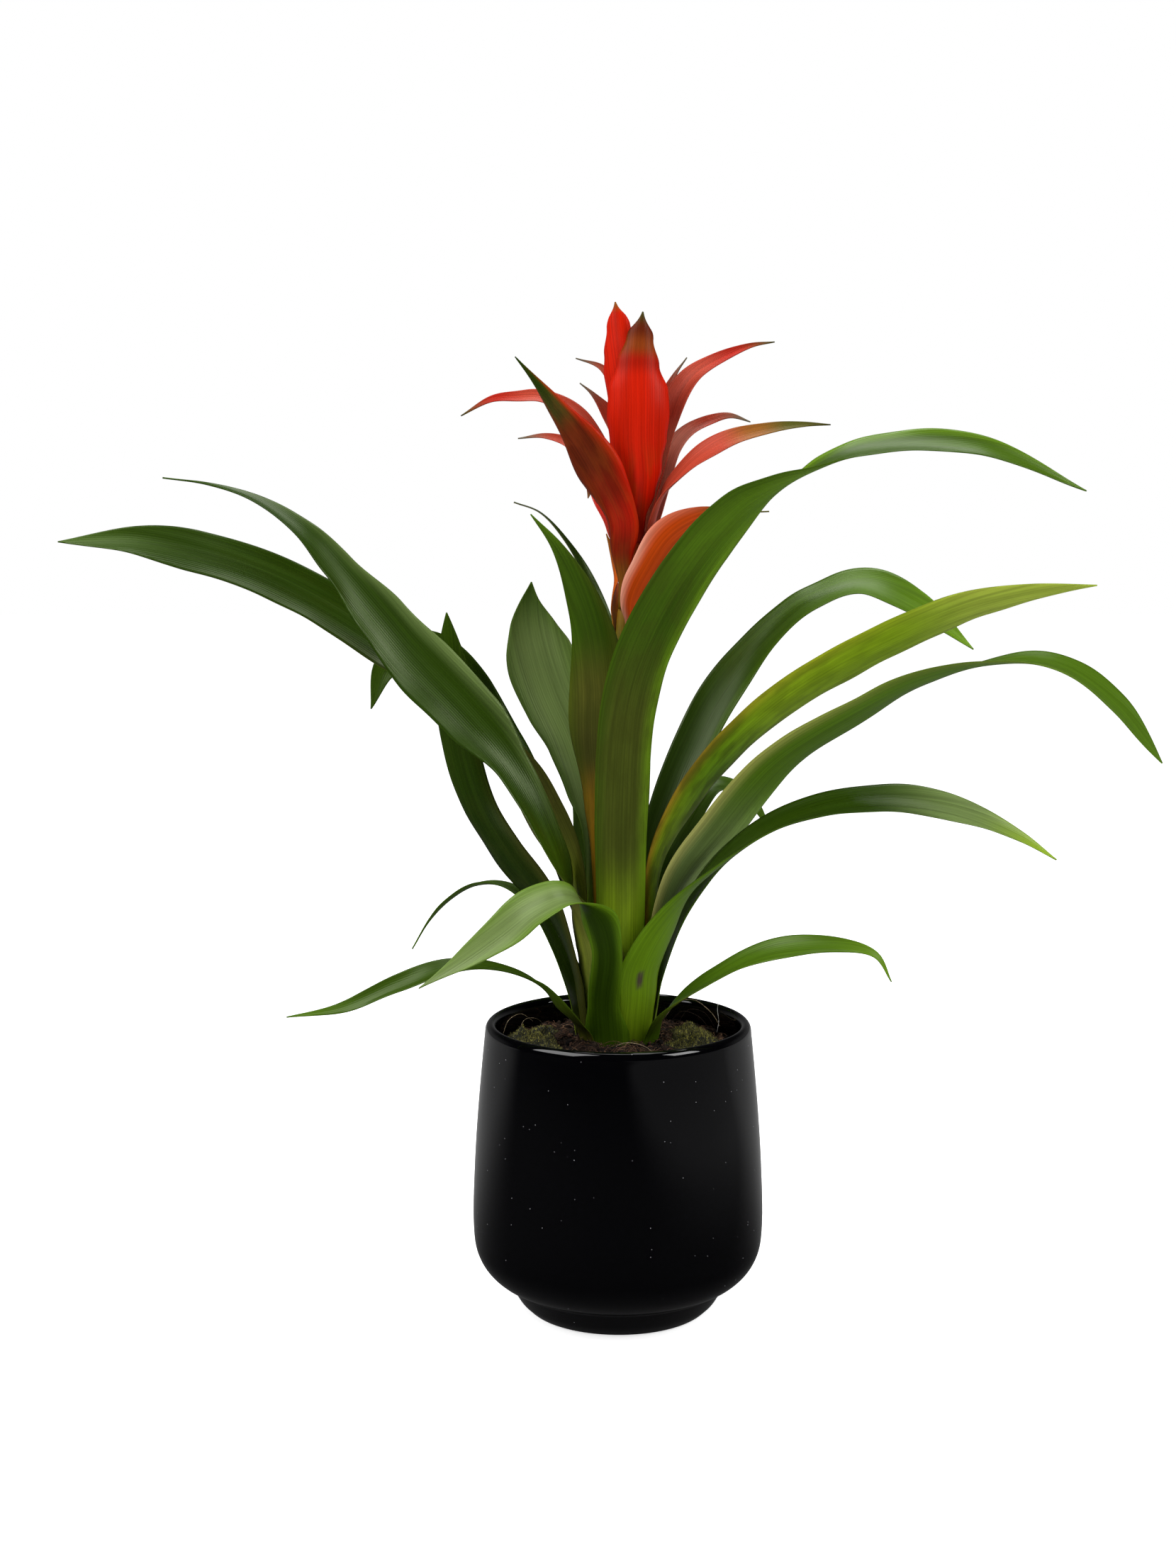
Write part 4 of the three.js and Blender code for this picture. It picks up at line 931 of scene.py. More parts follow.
BRACTS = (
    Bract("bract_front_left", bearing=-110, foot=352, width=(7, 16, 24, 19, 12),
          path=((1, -12, 378), (1, -15, 395), (-8, -19, 415), (-18, -22, 432), (-29, -25, 446),
           (-39, -27, 459), (-49, -29, 471)),
          upper=((0.3, 1, 0), (0.5, 1, 0.5))),
    Bract("bract_lower_right", bearing=-60, foot=332, width=(9, 18, 22, 18, 10),
          path=((7, -11, 356), (15, -14, 373), (25, -14, 387), (38, -11, 395), (53, -9, 398),
           (72, -7, 399)),
          upper=((-0.3, 1, 0.3), (-0.3, -0.2, 1))),
    Bract("bract_lower_left", bearing=150, foot=340, width=(9, 13, 14, 11, 5),
          path=((-2, 7, 367), (-3, 9, 378), (-6, 10, 388)),
          upper=((0.5, 0.8, 0),)),
    Bract("bract_cone_front", bearing=-88, foot=384, channel=95, tip=0.08,
          width=(9, 17, 24, 30, 33, 32, 23, 14, 5),
          path=((10, -12, 415), (9, -14, 432), (9, -15, 450), (9, -13, 469), (10, -11, 483), (11, -9, 493)),
          upper=((0, 1, 0),)),
    Bract("bract_cone_left", bearing=-125, foot=395, channel=80, tip=0.06,
          width=(8, 14, 19, 22, 24, 24, 20, 13, 4),
          path=((3, -7, 430), (3, -8, 450), (1, -7, 470), (-1, -5, 485), (-2, -3, 498)),
          upper=((0.3, 1, 0),)),
    Bract("bract_cone_right", bearing=5, foot=403, channel=130, tip=0.4, width=(9, 16, 18, 17, 11),
          path=((17, 0, 428), (17, 0, 446), (16, 0, 466), (13, 0, 486)),
          upper=((-1, 0, 0),)),
    Bract("bract_cone_back", bearing=88, foot=411, channel=90, tip=0.4, width=(5, 8, 10, 10, 7),
          path=((8, 9, 434), (8, 10, 450), (7, 10, 468), (7, 8, 482)),
          upper=((0.1, -1, 0),)),
    Bract("bract_right_high", bearing=8, foot=388, width=(5, 15, 18, 14, 9),
          path=((21, 3, 420), (24, 4, 438), (29, 6, 454), (35, 7, 463), (43, 8, 469), (63, 8, 478),
           (75, 8, 480)),
          upper=((-0.5, -0.6, 0.6), (0, -1, 0.5))),
    Bract("bract_right_long", bearing=-30, foot=372, width=(8, 15, 15, 12, 9),
          path=((21, -11, 406), (28, -13, 415), (40, -15, 426), (53, -16, 433), (71, -16, 438),
           (87, -16, 440), (100, -16, 440)),
          upper=((-0.5, -0.6, 0.6), (0, -1, 0.5))),
    Bract("bract_right_curled", bearing=38, foot=366, width=(5, 13, 16, 13, 9),
          path=((22, 8, 412), (27, 10, 428), (34, 11, 437), (45, 12, 443), (54, 12, 445), (64, 12, 442)),
          upper=((-0.5, -0.6, 0.6), (0, -1, 0.5))),
    Bract("bract_right_small", bearing=50, foot=380, width=(4, 9, 17, 13, 5),
          path=((18, 12, 430), (21, 14, 448), (27, 15, 464), (33, 15, 473)),
          upper=((-0.5, -0.8, 0.4),)),
    Bract("bract_left_long", bearing=150, foot=382, width=(5, 11, 13, 12, 8),
          path=((-7, 8, 425), (-16, 12, 440), (-26, 15, 449), (-39, 16, 454), (-49, 16, 454),
           (-62, 16, 453), (-77, 16, 445)),
          upper=((0.5, -0.6, 0.6), (0, -1, 0.5))),
    Bract("bract_left_curled", bearing=185, foot=368, width=(4, 11, 12, 10, 6),
          path=((-9, 0, 410), (-16, 3, 421), (-24, 6, 431), (-36, 8, 435), (-49, 9, 434)),
          upper=((0.5, -0.6, 0.6), (0, -1, 0.5))),
    Bract("bract_left_high", bearing=118, foot=374, width=(4, 7, 17, 16, 5),
          path=((3, 19, 432), (-5, 21, 446), (-13, 21, 456), (-19, 21, 461)),
          upper=((0.3, -1, 0.2),)),
    Bract("bract_left_thin", bearing=100, foot=392, width=(4, 6, 13, 11, 4),
          path=((5, 15, 430), (1, 18, 452), (-8, 21, 468), (-21, 22, 473)),
          upper=((0.4, -1, 0.2),)),
    Bract("bract_back_right", bearing=60, foot=350, width=(7, 14, 17, 14, 8),
          path=((15, 17, 375), (22, 28, 384), (30, 40, 386), (38, 50, 380))),
    Bract("bract_back", bearing=115, foot=360, width=(6, 13, 16, 13, 8),
          path=((-2, 21, 392), (-8, 34, 404), (-13, 52, 410), (-15, 68, 405))),
)


def turned(profile: np.ndarray, turns: int) -> np.ndarray:
    """Turns a profile about the upright axis: a point is (r cos t, r sin t, z).

    Args:
        profile: Rows of radius and height.
        turns: Steps round the axis.

    Returns:
        Points by ring and by turn.
    """
    turn = np.linspace(0.0, 2 * np.pi, turns, endpoint=False)
    radius, height = profile[:, :1], np.repeat(profile[:, 1:], turns, axis=1)
    return np.stack([radius * np.cos(turn), radius * np.sin(turn), height], -1)


def closed(rings: np.ndarray, foot: float, top: float) -> tuple[np.ndarray, list[list[int]]]:
    """Closes a stack of rings with a fan of triangles at each end.

    Args:
        rings: Points by ring and by turn, from the lowest ring round to the last one.
        foot: Height of the point on the axis that closes the first ring.
        top: Height of the point on the axis that closes the last ring.

    Returns:
        The points, one a row, and the faces.
    """
    rows, turns = rings.shape[:2]
    count = rows * turns
    last = count - turns
    first = np.arange(turns)
    after = (first + 1) % turns
    faces = quads_of(rows, turns, ring=True).tolist()
    faces += np.stack([np.full(turns, count), after, first], 1).tolist()
    faces += np.stack([np.full(turns, count + 1), last + first, last + after], 1).tolist()
    return np.vstack([rings.reshape(-1, 3), [[0.0, 0.0, foot], [0.0, 0.0, top]]]), faces


def rounded(corners: tuple[Point, ...], steps: int = 5) -> np.ndarray:
    """Rounds the corners of a profile.

    Args:
        corners: Radius and height of each corner, and how far its rounding reaches, all in millimetres.
        steps: Points of each rounding.

    Returns:
        Rows of radius and height. A rounding is the curve (1-t)^2 a + 2 t (1-t) b + t^2 c.
    """
    rows = [np.array(corners[0][:2])]
    for before, corner, after in zip(corners, corners[1:], corners[2:]):
        b, reach = np.array(corner[:2]), corner[2]
        if reach == 0:
            rows.append(b)
            continue
        a, c = (b + unit(np.array(end[:2]) - b) * reach for end in (before, after))
        for t in np.linspace(0.0, 1.0, steps):
            rows.append((1 - t) ** 2 * a + 2 * t * (1 - t) * b + t ** 2 * c)
    rows.append(np.array(corners[-1][:2]))
    return np.array(rows)


@dataclass(frozen=True)
class Glaze:
    """Black gloss glaze with faint waves in it and pale specks of dust on it."""

    cells: float = 330.0
    speck: float = 0.055
    clean: float = 0.78
    wave_depth: float = 0.0004

    black: tuple[float, float, float, float] = (0.0008, 0.0008, 0.0012, 1.0)
    dust: tuple[float, float, float, float] = (0.45, 0.45, 0.47, 1.0)

    def build(self) -> bpy.types.Material:
        """Dust lies close to the points of some cells. Broad noise is the bump.

        Returns:
            The material.
        """
        made, graph = new_material("glaze")
        place = graph.place()
        cell = graph.node("ShaderNodeTexVoronoi", {"Vector": place, "Scale": self.cells, "Randomness": 1.0})
        speck = graph.math("LESS_THAN", cell.outputs["Distance"], self.speck)
        tone = graph.node("ShaderNodeSeparateColor", {0: cell.outputs["Color"]}).outputs[0]
        chosen = graph.math("GREATER_THAN", tone, self.clean)
        colour = graph.blend(graph.math("MULTIPLY", speck, chosen), self.black, self.dust)
        film = graph.ease(graph.noise(place, 34.0, 6.0), 0.35, 0.7)
        rough = graph.ease(film, 0.0, 1.0, 0.03, 0.07)
        waves = graph.bump(graph.noise(place, 22.0, 1.0), self.wave_depth, 0.25)
        graph.surface(Base_Color=colour, Roughness=rough, Normal=waves, Specular_IOR_Level=0.42)
        return made


@dataclass(frozen=True)
class Pot:
    """The glazed pot: a stepped foot, a full belly that narrows upwards, and a rounded lip."""

    foot: tuple[Point, ...] = (
        (0, 0, 0), (41, 0, 1.5), (45, 1.2, 1.5), (49.5, 5.5, 2), (53.4, 12, 1), (54.8, 14.4, 0.6),
        (58, 16.2, 1),
    )
    belly: tuple[tuple[float, float], ...] = (
        (54.8, 14.4), (62, 18.5), (67.4, 24), (71.2, 32), (72.6, 45), (71.8, 75), (70.2, 100), (68, 125),
        (66.2, 143),
    )
    inside: tuple[tuple[float, float], ...] = (
        (60.2, 143), (62, 125), (64.4, 100), (66, 72), (66, 47), (62.5, 31), (53, 18), (38, 10), (0, 9),
    )
    lip_start: float = 143.0
    lip_top: float = 147.0
    turns: int = 200

    def build(self) -> bpy.types.Object:
        """Turns the profile. The lip is half an ellipse from the outer wall to the inner one.

        Returns:
            The piece.
        """
        foot = rounded(self.foot)[:-1]
        belly = Curve([(r, 0.0, z) for r, z in self.belly]).at(np.linspace(0.0, 1.0, 70))[1:, [0, 2]]
        outer, inner = self.belly[-1][0], self.inside[0][0]
        turn = np.linspace(0.0, np.pi, 19)[1:-1]
        middle, half = (outer + inner) / 2, (outer - inner) / 2
        rise = self.lip_top - self.lip_start
        lip = np.stack([middle + half * np.cos(turn), self.lip_start + rise * np.sin(turn)], 1)
        inside = Curve([(r, 0.0, z) for r, z in self.inside]).at(np.linspace(0.0, 1.0, 40))[:, [0, 2]]
        profile = np.vstack([foot, belly, lip, inside])
        points, faces = closed(turned(profile[1:-1], self.turns), profile[0, 1], profile[-1, 1])
        return dress(piece_of("pot_glazed", points, faces), Glaze().build(), "pot", "pot")


@dataclass(frozen=True)
class Crumbly:
    """Peat, fibre or moss: the attribute tint with dark and light grains, rough and matte."""

    BLOTCH: ClassVar[float] = 9.0

    name: str
    grain: float
    depth: float
    sheen: float = 0.0

    def build(self) -> bpy.types.Material:
        """The tint times noise of the grain's scale. The same noise is the bump.

        Returns:
            The material.
        """
        made, graph = new_material(self.name)
        place = graph.place()
        tint = graph.node("ShaderNodeAttribute", attribute_name="tint").outputs["Color"]
        grain = graph.noise(place, self.grain, 6.0)
        blotch = graph.noise(place, self.grain / self.BLOTCH, 2.0)
        grains = graph.ease(grain, 0.3, 0.7, 0.45, 1.5)
        light = graph.math("MULTIPLY", grains, graph.ease(blotch, 0.3, 0.7, 0.7, 1.25))
        colour = graph.blend(1.0, tint, graph.grey(light), "MULTIPLY")
        graph.surface(Base_Color=colour, Roughness=0.92, Normal=graph.bump(grain, self.depth, 0.9),
                      Sheen_Weight=self.sheen, Specular_IOR_Level=0.25)
        return made


@dataclass(frozen=True)
class Ground:
    """The soil in the pot with its crumbs, fibres, roots and cushions of moss."""

    edge: float = 133.0
    edge_radius: float = 61.0
    top: float = 139.0
    hole: float = 22.5
    steps: int = 8
    lump: float = 1.2
    wall: tuple[tuple[float, float], ...] = (
        (37, 11), (52, 19), (61, 31.5), (64.8, 47), (64.8, 72), (63, 100), (60.6, 125),
    )
    turns: int = 220
    rings: int = 70
    crumb_count: int = 2600
    crumb_ring: tuple[float, float] = (15.0, 60.0)
    crumb_least: float = 0.35
    crumb_more: float = 1.5
    fibre_count: int = 1300
    fibre_ring: tuple[float, float] = (18.0, 57.0)
    fibre_reach: float = 59.0
    fibre_joints: int = 9
    PEAT: ClassVar[np.ndarray] = np.array([
        (0.022, 0.013, 0.009), (0.040, 0.022, 0.014), (0.070, 0.034, 0.020), (0.016, 0.011, 0.009),
        (0.110, 0.062, 0.034), (0.030, 0.020, 0.013),
    ])
    MOSS: ClassVar[dict[str, tuple[float, float, int, int]]] = {
        "moss_left": (153, 225, 1, 6), "moss_right": (-36, 27, 2, 7), "moss_behind": (63, 117, 1, 6),
    }
    moss_rise: float = 5.16
    moss_sunk: float = 0.6
    tuft_count: int = 5200
    tuft_tall: tuple[float, float] = (0.7, 1.7)
    tuft_half: tuple[float, float] = (0.14, 0.3)
    tuft_thick: float = 0.1
    TUFT_DARK: ClassVar[np.ndarray] = np.array([0.012, 0.014, 0.004])
    TUFT_LIGHT: ClassVar[np.ndarray] = np.array([0.520, 0.480, 0.110])
    MOSS_BED: ClassVar[Point] = (0.014, 0.015, 0.005)
    PALE_ROOT: ClassVar[Point] = (0.30, 0.23, 0.14)
    DARK_ROOT: ClassVar[Point] = (0.030, 0.018, 0.012)
    WHITE_HAIR: ClassVar[Point] = (0.75, 0.74, 0.70)
    root_joints: int = 14
    ROOTS: ClassVar[tuple[tuple[tuple[Point, ...], float, Point], ...]] = (
        (((-58, 8, 137), (-55, 14, 144), (-49, 19, 146), (-43, 24, 141)), 0.16, PALE_ROOT),
        (((-50, 2, 138), (-47, 10, 145), (-41, 17, 144), (-37, 20, 140)), 0.12, PALE_ROOT),
        (((24, 40, 138), (31, 40, 147), (39, 38, 149), (48, 30, 144), (52, 22, 139)), 0.24, PALE_ROOT),
        (((27, 30, 139), (33, 29, 145), (41, 27, 143), (46, 20, 139)), 0.16, DARK_ROOT),
        (((30, 22, 139), (36, 24, 147), (44, 22, 146), (49, 16, 140)), 0.13, DARK_ROOT),
        (((50, 13, 138), (51, 15, 143), (50.5, 18, 149), (52, 21, 154)), 0.09, WHITE_HAIR),
        (((-4, -26, 139), (3, -29, 143), (12, -31, 142), (17, -33, 139)), 0.22, PALE_ROOT),
    )

    def height(self, x: np.ndarray, y: np.ndarray) -> np.ndarray:
        """Height of the soil: a cone from the wall up to the plant, with lumps that die out at both ends.

        Args:
            x: Places along X, in millimetres.
            y: Places along Y, in millimetres.

        Returns:
            edge + (top - edge) part + lump waves 4 part (1 - part).
        """
        part = np.clip((self.edge_radius - np.hypot(x, y)) / (self.edge_radius - self.hole), 0.0, 1.0)
        waves = np.sin(0.21 * x + 0.13 * y) + np.sin(0.17 * y - 0.24 * x + 2) + np.sin(0.33 * x + 1) / 2
        return mix(self.edge, self.top, part) + self.lump * waves * 4 * part * (1 - part)

    def build(self, finish: bpy.types.Material) -> bpy.types.Object:
        """The soil's body: a fine rough top that runs down along the pot's wall.

        Args:
            finish: The soil's material.

        Returns:
            The piece.
        """
        radius = np.linspace(self.edge_radius + 0.4, 3.0, self.rings)
        top = turned(np.column_stack([radius, radius * 0]), self.turns)
        flat = top.reshape(-1, 3)
        rough = ripple(flat, 9.0, 5, 4) * 0.9 + ripple(flat, 3.0, 6, 3) * 0.4
        top[..., 2] = self.height(top[..., 0], top[..., 1]) + rough.reshape(top.shape[:2]) - 0.6
        below = turned(np.array(self.wall), self.turns)
        points, faces = closed(np.concatenate([below, top]), self.wall[0][1], self.top)
        shade = smooth(ripple(points, 7.0, 9, 3), -0.6, 0.8)[:, None]
        # The tint is halved: painted shade in the gaps between the crumbs, over the peat's own tone
        tint = mix(self.PEAT[3], self.PEAT[2], shade) * 0.5
        return dress(piece_of("soil_bed", points, faces, tint), finish, "soil", "soil")

    @staticmethod
    def strewn(rng: np.random.Generator, count: int, inner: float, outer: float) -> np.ndarray:
        """Places spread evenly over a ring: the radius is the root of an even draw between the squares.

        Args:
            rng: Source of the draws.
            count: How many places.
            inner: The ring's inner radius.
            outer: The ring's outer radius.

        Returns:
            A row of x and a row of y.
        """
        turn = rng.uniform(0, 2 * np.pi, count)
        radius = np.sqrt(rng.uniform(inner ** 2, outer ** 2, count))
        return np.stack([radius * np.cos(turn), radius * np.sin(turn)])

    def crumbs(self, finish: bpy.types.Material) -> bpy.types.Object:
        """Loose crumbs of peat and bark, each an uneven lump of twenty faces, strewn over the soil.

        Args:
            finish: The soil's material.

        Returns:
            The piece.
        """
        rng = np.random.default_rng(21)
        count = self.crumb_count
        x, y = self.strewn(rng, count, *self.crumb_ring)
        size = self.crumb_least + self.crumb_more * rng.random(count) ** 4
        centre = np.stack([x, y, self.height(x, y) + size * 0.25], 1)
        tone = self.PEAT[rng.integers(0, len(self.PEAT), count)] * rng.uniform(0.25, 1.6, (count, 1))
        return dress(lumps("soil_crumbs", centre, size, tone, rng), finish, "soil")

    def fibres(self, finish: bpy.types.Material) -> bpy.types.Object:
        """Fine brown fibres of coir that curl over the soil and stand up from it a little.

        Args:
            finish: The soil's material.

        Returns:
            The piece.
        """
        rng = np.random.default_rng(34)
        count, joints = self.fibre_count, self.fibre_joints
        start = self.strewn(rng, count, *self.fibre_ring)
        first = rng.uniform(0, 2 * np.pi, (count, 1))
        heading = first + np.cumsum(rng.normal(0, 0.45, (count, joints)), axis=1)
        step = rng.uniform(0.6, 1.7, (count, 1))
        x = start[0][:, None] + np.cumsum(step * np.cos(heading), axis=1)
        y = start[1][:, None] + np.cumsum(step * np.sin(heading), axis=1)
        pull = np.minimum(1.0, self.fibre_reach / np.maximum(np.hypot(x, y), 1.0))
        x, y = x * pull, y * pull
        arch = np.sin(np.linspace(0, np.pi, joints))[None] * rng.uniform(0.2, 2.4, (count, 1))
        path = np.stack([x, y, self.height(x, y) + 0.5 + arch], -1)
        tone = self.PEAT[rng.integers(0, 5, count)] * rng.uniform(0.5, 2.6, (count, 1))
        return dress(tubes("soil_fibres", path, rng.uniform(0.07, 0.19, count), tone), finish, "soil")

    def roots(self, finish: bpy.types.Material) -> bpy.types.Object:
        """The single roots and hairs that stand up from the soil at both sides of the plant.

        Args:
            finish: The soil's material.

        Returns:
            The piece.
        """
        paths = [Curve(points).at(np.linspace(0.0, 1.0, self.root_joints)) for points, _, _ in self.ROOTS]
        radius = np.array([radius for _, radius, _ in self.ROOTS])
        tone = np.array([tone for _, _, tone in self.ROOTS])
        return dress(tubes("soil_roots", np.array(paths), radius, tone), finish, "soil")

    def cushion(self, name: str, i: np.ndarray, j: np.ndarray) -> tuple[np.ndarray, ...]:
        """Places on a cushion of moss, and how high its dome stands there.

        Args:
            name: The cushion.
            i: Shares of the way along it.
            j: Shares of the way across it.

        Returns:
            x, y, the dome, which is sqrt(sin(pi i) sin(pi j)) with low waves, and its height with lumps.
        """
        start, end, outer, inner = self.MOSS[name]
        step = (self.edge_radius - self.hole) / self.steps
        bearing = np.radians(mix(start, end, i))
        radius = self.edge_radius - step * mix(inner, outer, j)
        x, y = radius * np.cos(bearing), radius * np.sin(bearing)
        arch = np.sqrt(np.sin(np.pi * i).clip(0) * np.sin(np.pi * j).clip(0))
        dome = arch * (1 + 0.25 * np.sin(0.5 * x) * np.cos(0.45 * y))
        flat = np.stack([x, y, x * 0], -1).reshape(-1, 3)
        lumpy = 1 + 0.4 * ripple(flat, 8.0, 3, 2).reshape(x.shape)
        return x, y, dome, self.moss_rise * dome * lumpy

    def moss(self, name: str, finish: bpy.types.Material) -> bpy.types.Object:
        """A cushion of moss: its low dome, covered with short pointed leaves that lean every way.

        Args:
            name: The solid that it replaces.
            finish: The moss's material.

        Returns:
            The piece.
        """
        rng = np.random.default_rng(sum(map(ord, name)))
        count = self.tuft_count
        x, y, dome, rise = self.cushion(name, *rng.random((2, count)))
        foot = np.stack([x, y, self.height(x, y) + rise], 1)
        lean_to = rng.normal(0, 0.6, (count, 2))
        tall = rng.uniform(*self.tuft_tall, count)
        aim = unit(np.column_stack([lean_to, np.ones(count)])) * tall[:, None]
        side = unit(np.cross(aim, rng.normal(size=(count, 3))))
        side = side * rng.uniform(*self.tuft_half, count)[:, None]
        out = unit(np.cross(aim, side)) * self.tuft_thick
        leaf = np.stack([foot - side, foot + side, foot + out, foot + aim], 1).reshape(-1, 3)
        corner = np.arange(count)[:, None] * 4
        tufts = np.concatenate([corner + f for f in ([0, 2, 3], [2, 1, 3], [1, 0, 3], [0, 1, 2])])
        # Tufts high on a dome are painted lighter, a painted highlight on the cushion's top; the rest of the
        # tone is random
        shade = np.clip(rng.normal(0.5, 0.28, count) + 0.3 * (dome - 0.6), 0, 1)[:, None]
        tone = mix(self.TUFT_DARK, self.TUFT_LIGHT, shade ** 2.2)
        bed, bed_faces = self.dome(name)
        points = np.vstack([bed, leaf])
        tint = np.vstack([np.repeat([self.MOSS_BED], len(bed), 0), np.repeat(tone, 4, 0)])
        faces = bed_faces.tolist() + (tufts + len(bed)).tolist()
        piece = piece_of(f"{name}_tufts", points, faces, tint, soft=False)
        return dress(piece, finish, "moss", name)

    def dome(self, name: str) -> tuple[np.ndarray, np.ndarray]:
        """The closed body of a cushion of moss: the shape of its solid, on a finer grid.

        Args:
            name: The cushion.

        Returns:
            The points, one a row, and the faces.
        """
        along, across = 41, 31
        i, j = np.meshgrid(np.linspace(0, 1, along), np.linspace(0, 1, across), indexing="ij")
        x, y, _, rise = self.cushion(name, i, j)
        base = self.height(x, y) - self.moss_sunk
        heights = (base, base + self.moss_sunk + 0.1 + rise)
        grids = [np.stack([x, y, height], -1).reshape(-1, 3) for height in heights]
        return np.vstack(grids), shell(along, across)


def lumps(name: str, centre: np.ndarray, size: np.ndarray, tone: np.ndarray,
          rng: np.random.Generator) -> bpy.types.Object:
    """Many small uneven lumps in one mesh, each an icosahedron with its corners moved.

    Args:
        name: Name of the piece.
        centre: One place a lump, in millimetres.
        size: One radius a lump.
        tone: One colour a lump.
        rng: Source of the unevenness.

    Returns:
        The piece.
    """
    golden = (1 + 5 ** 0.5) / 2
    ball = unit(np.array([
        (-1, golden, 0), (1, golden, 0), (-1, -golden, 0), (1, -golden, 0),
        (0, -1, golden), (0, 1, golden), (0, -1, -golden), (0, 1, -golden),
        (golden, 0, -1), (golden, 0, 1), (-golden, 0, -1), (-golden, 0, 1),
    ]))
    triangles = np.array([
        (0, 11, 5), (0, 5, 1), (0, 1, 7), (0, 7, 10), (0, 10, 11), (1, 5, 9), (5, 11, 4), (11, 10, 2),
        (10, 7, 6), (7, 1, 8), (3, 9, 4), (3, 4, 2), (3, 2, 6), (3, 6, 8), (3, 8, 9), (4, 9, 5), (2, 4, 11),
        (6, 2, 10), (8, 6, 7), (9, 8, 1),
    ])
    count, corners = len(centre), len(ball)
    uneven = rng.uniform(0.65, 1.3, (count, corners, 1)) * rng.uniform(0.6, 1.4, (count, 1, 3))
    points = centre[:, None] + ball[None] * uneven * size[:, None, None]
    faces = (triangles[None] + corners * np.arange(count)[:, None, None]).reshape(-1, 3)
    return piece_of(name, points.reshape(-1, 3), faces, np.repeat(tone, corners, 0))


def tubes(name: str, path: np.ndarray, radius: np.ndarray, tone: np.ndarray) -> bpy.types.Object:
    """Many thin threads in one mesh: a small square carried along each path, thinner at its ends.

    Args:
        name: Name of the piece.
        path: Points by thread and by joint, in millimetres.
        radius: One radius a thread.
        tone: One colour a thread.

    Returns:
        The piece. A point is joint + radius (side cos t + rise sin t).
    """
    sides = 4
    count, joints = path.shape[:2]
    course = unit(np.gradient(path, axis=1))
    side = unit(np.cross(course, [0.31, 0.17, 0.93]))
    rise = np.cross(course, side)
    turn = np.linspace(0, 2 * np.pi, sides, endpoint=False)
    thin = mix(0.35, 1.0, np.sin(np.linspace(0.12, 0.95, joints) * np.pi))
    reach = (radius[:, None] * thin[None])[..., None, None]
    around = side[:, :, None] * np.cos(turn)[:, None] + rise[:, :, None] * np.sin(turn)[:, None]
    points = (path[:, :, None] + around * reach).reshape(-1, 3)
    ends = np.array([np.arange(sides)[::-1], np.arange(sides) + (joints - 1) * sides])
    shape = np.vstack([quads_of(joints, sides, ring=True), ends])
    faces = (shape[None] + joints * sides * np.arange(count)[:, None, None]).reshape(-1, sides)
    return piece_of(name, points, faces, np.repeat(tone, joints * sides, 0))


@dataclass(frozen=True)
class Stem:
    """The root crown and the stalk that goes up from it, leaning a little to the right."""

    foot: float = 123.3
    core_radius: float = 6.0
    core_top: float = 175.0
    scape_start: float = 230.0
    top: float = 432.0
    rounding: float = 4.0
    turns: int = 32
    orange_from: float = 0.30
    orange_at: float = 0.40
    streak: Point = (900.0, 900.0, 20.0)

    def build(self) -> bpy.types.Object:
        """Turns the profile and leans it: x + lean(z).

        Returns:
            The piece.
        """
        height = np.linspace(self.core_top, self.top - self.rounding, 90)
        share = smooth(height, self.core_top, self.scape_start)
        radius = mix(self.core_radius, SCAPE_RADIUS, share)
        profile = np.vstack([[[self.core_radius, self.foot]], np.stack([radius, height], 1),
                             [[SCAPE_RADIUS / 2, self.top]]])
        points, faces = closed(turned(profile, self.turns), self.foot, self.top)
        points[:, 0] += lean(points[:, 2])
        return dress(piece_of("stem_stalk", points, faces), self.finish(), "stem", "stem")

    def finish(self) -> bpy.types.Material:
        """Green that turns to orange up the stalk, with noise in long streaks, which is the bump too.

        Returns:
            The material.
        """
        made, graph = new_material("stalk_skin")
        where = graph.place()
        green, orange = ((*shade.value, 1.0) for shade in (Shade.FRESH, Shade.ORANGE))
        turned_orange = graph.ease(graph.parts(where)[2], self.orange_from, self.orange_at)
        colour = graph.blend(turned_orange, green, orange)
        line = graph.noise(graph.scaled(where, self.streak), 1.0, 3.0)
        streaked = graph.blend(1.0, colour, graph.grey(graph.ease(line, 0.3, 0.7, 0.75, 1.15)), "MULTIPLY")
        graph.surface(Base_Color=streaked, Roughness=0.45, Normal=graph.bump(line, 0.0002, 0.6))
        return made


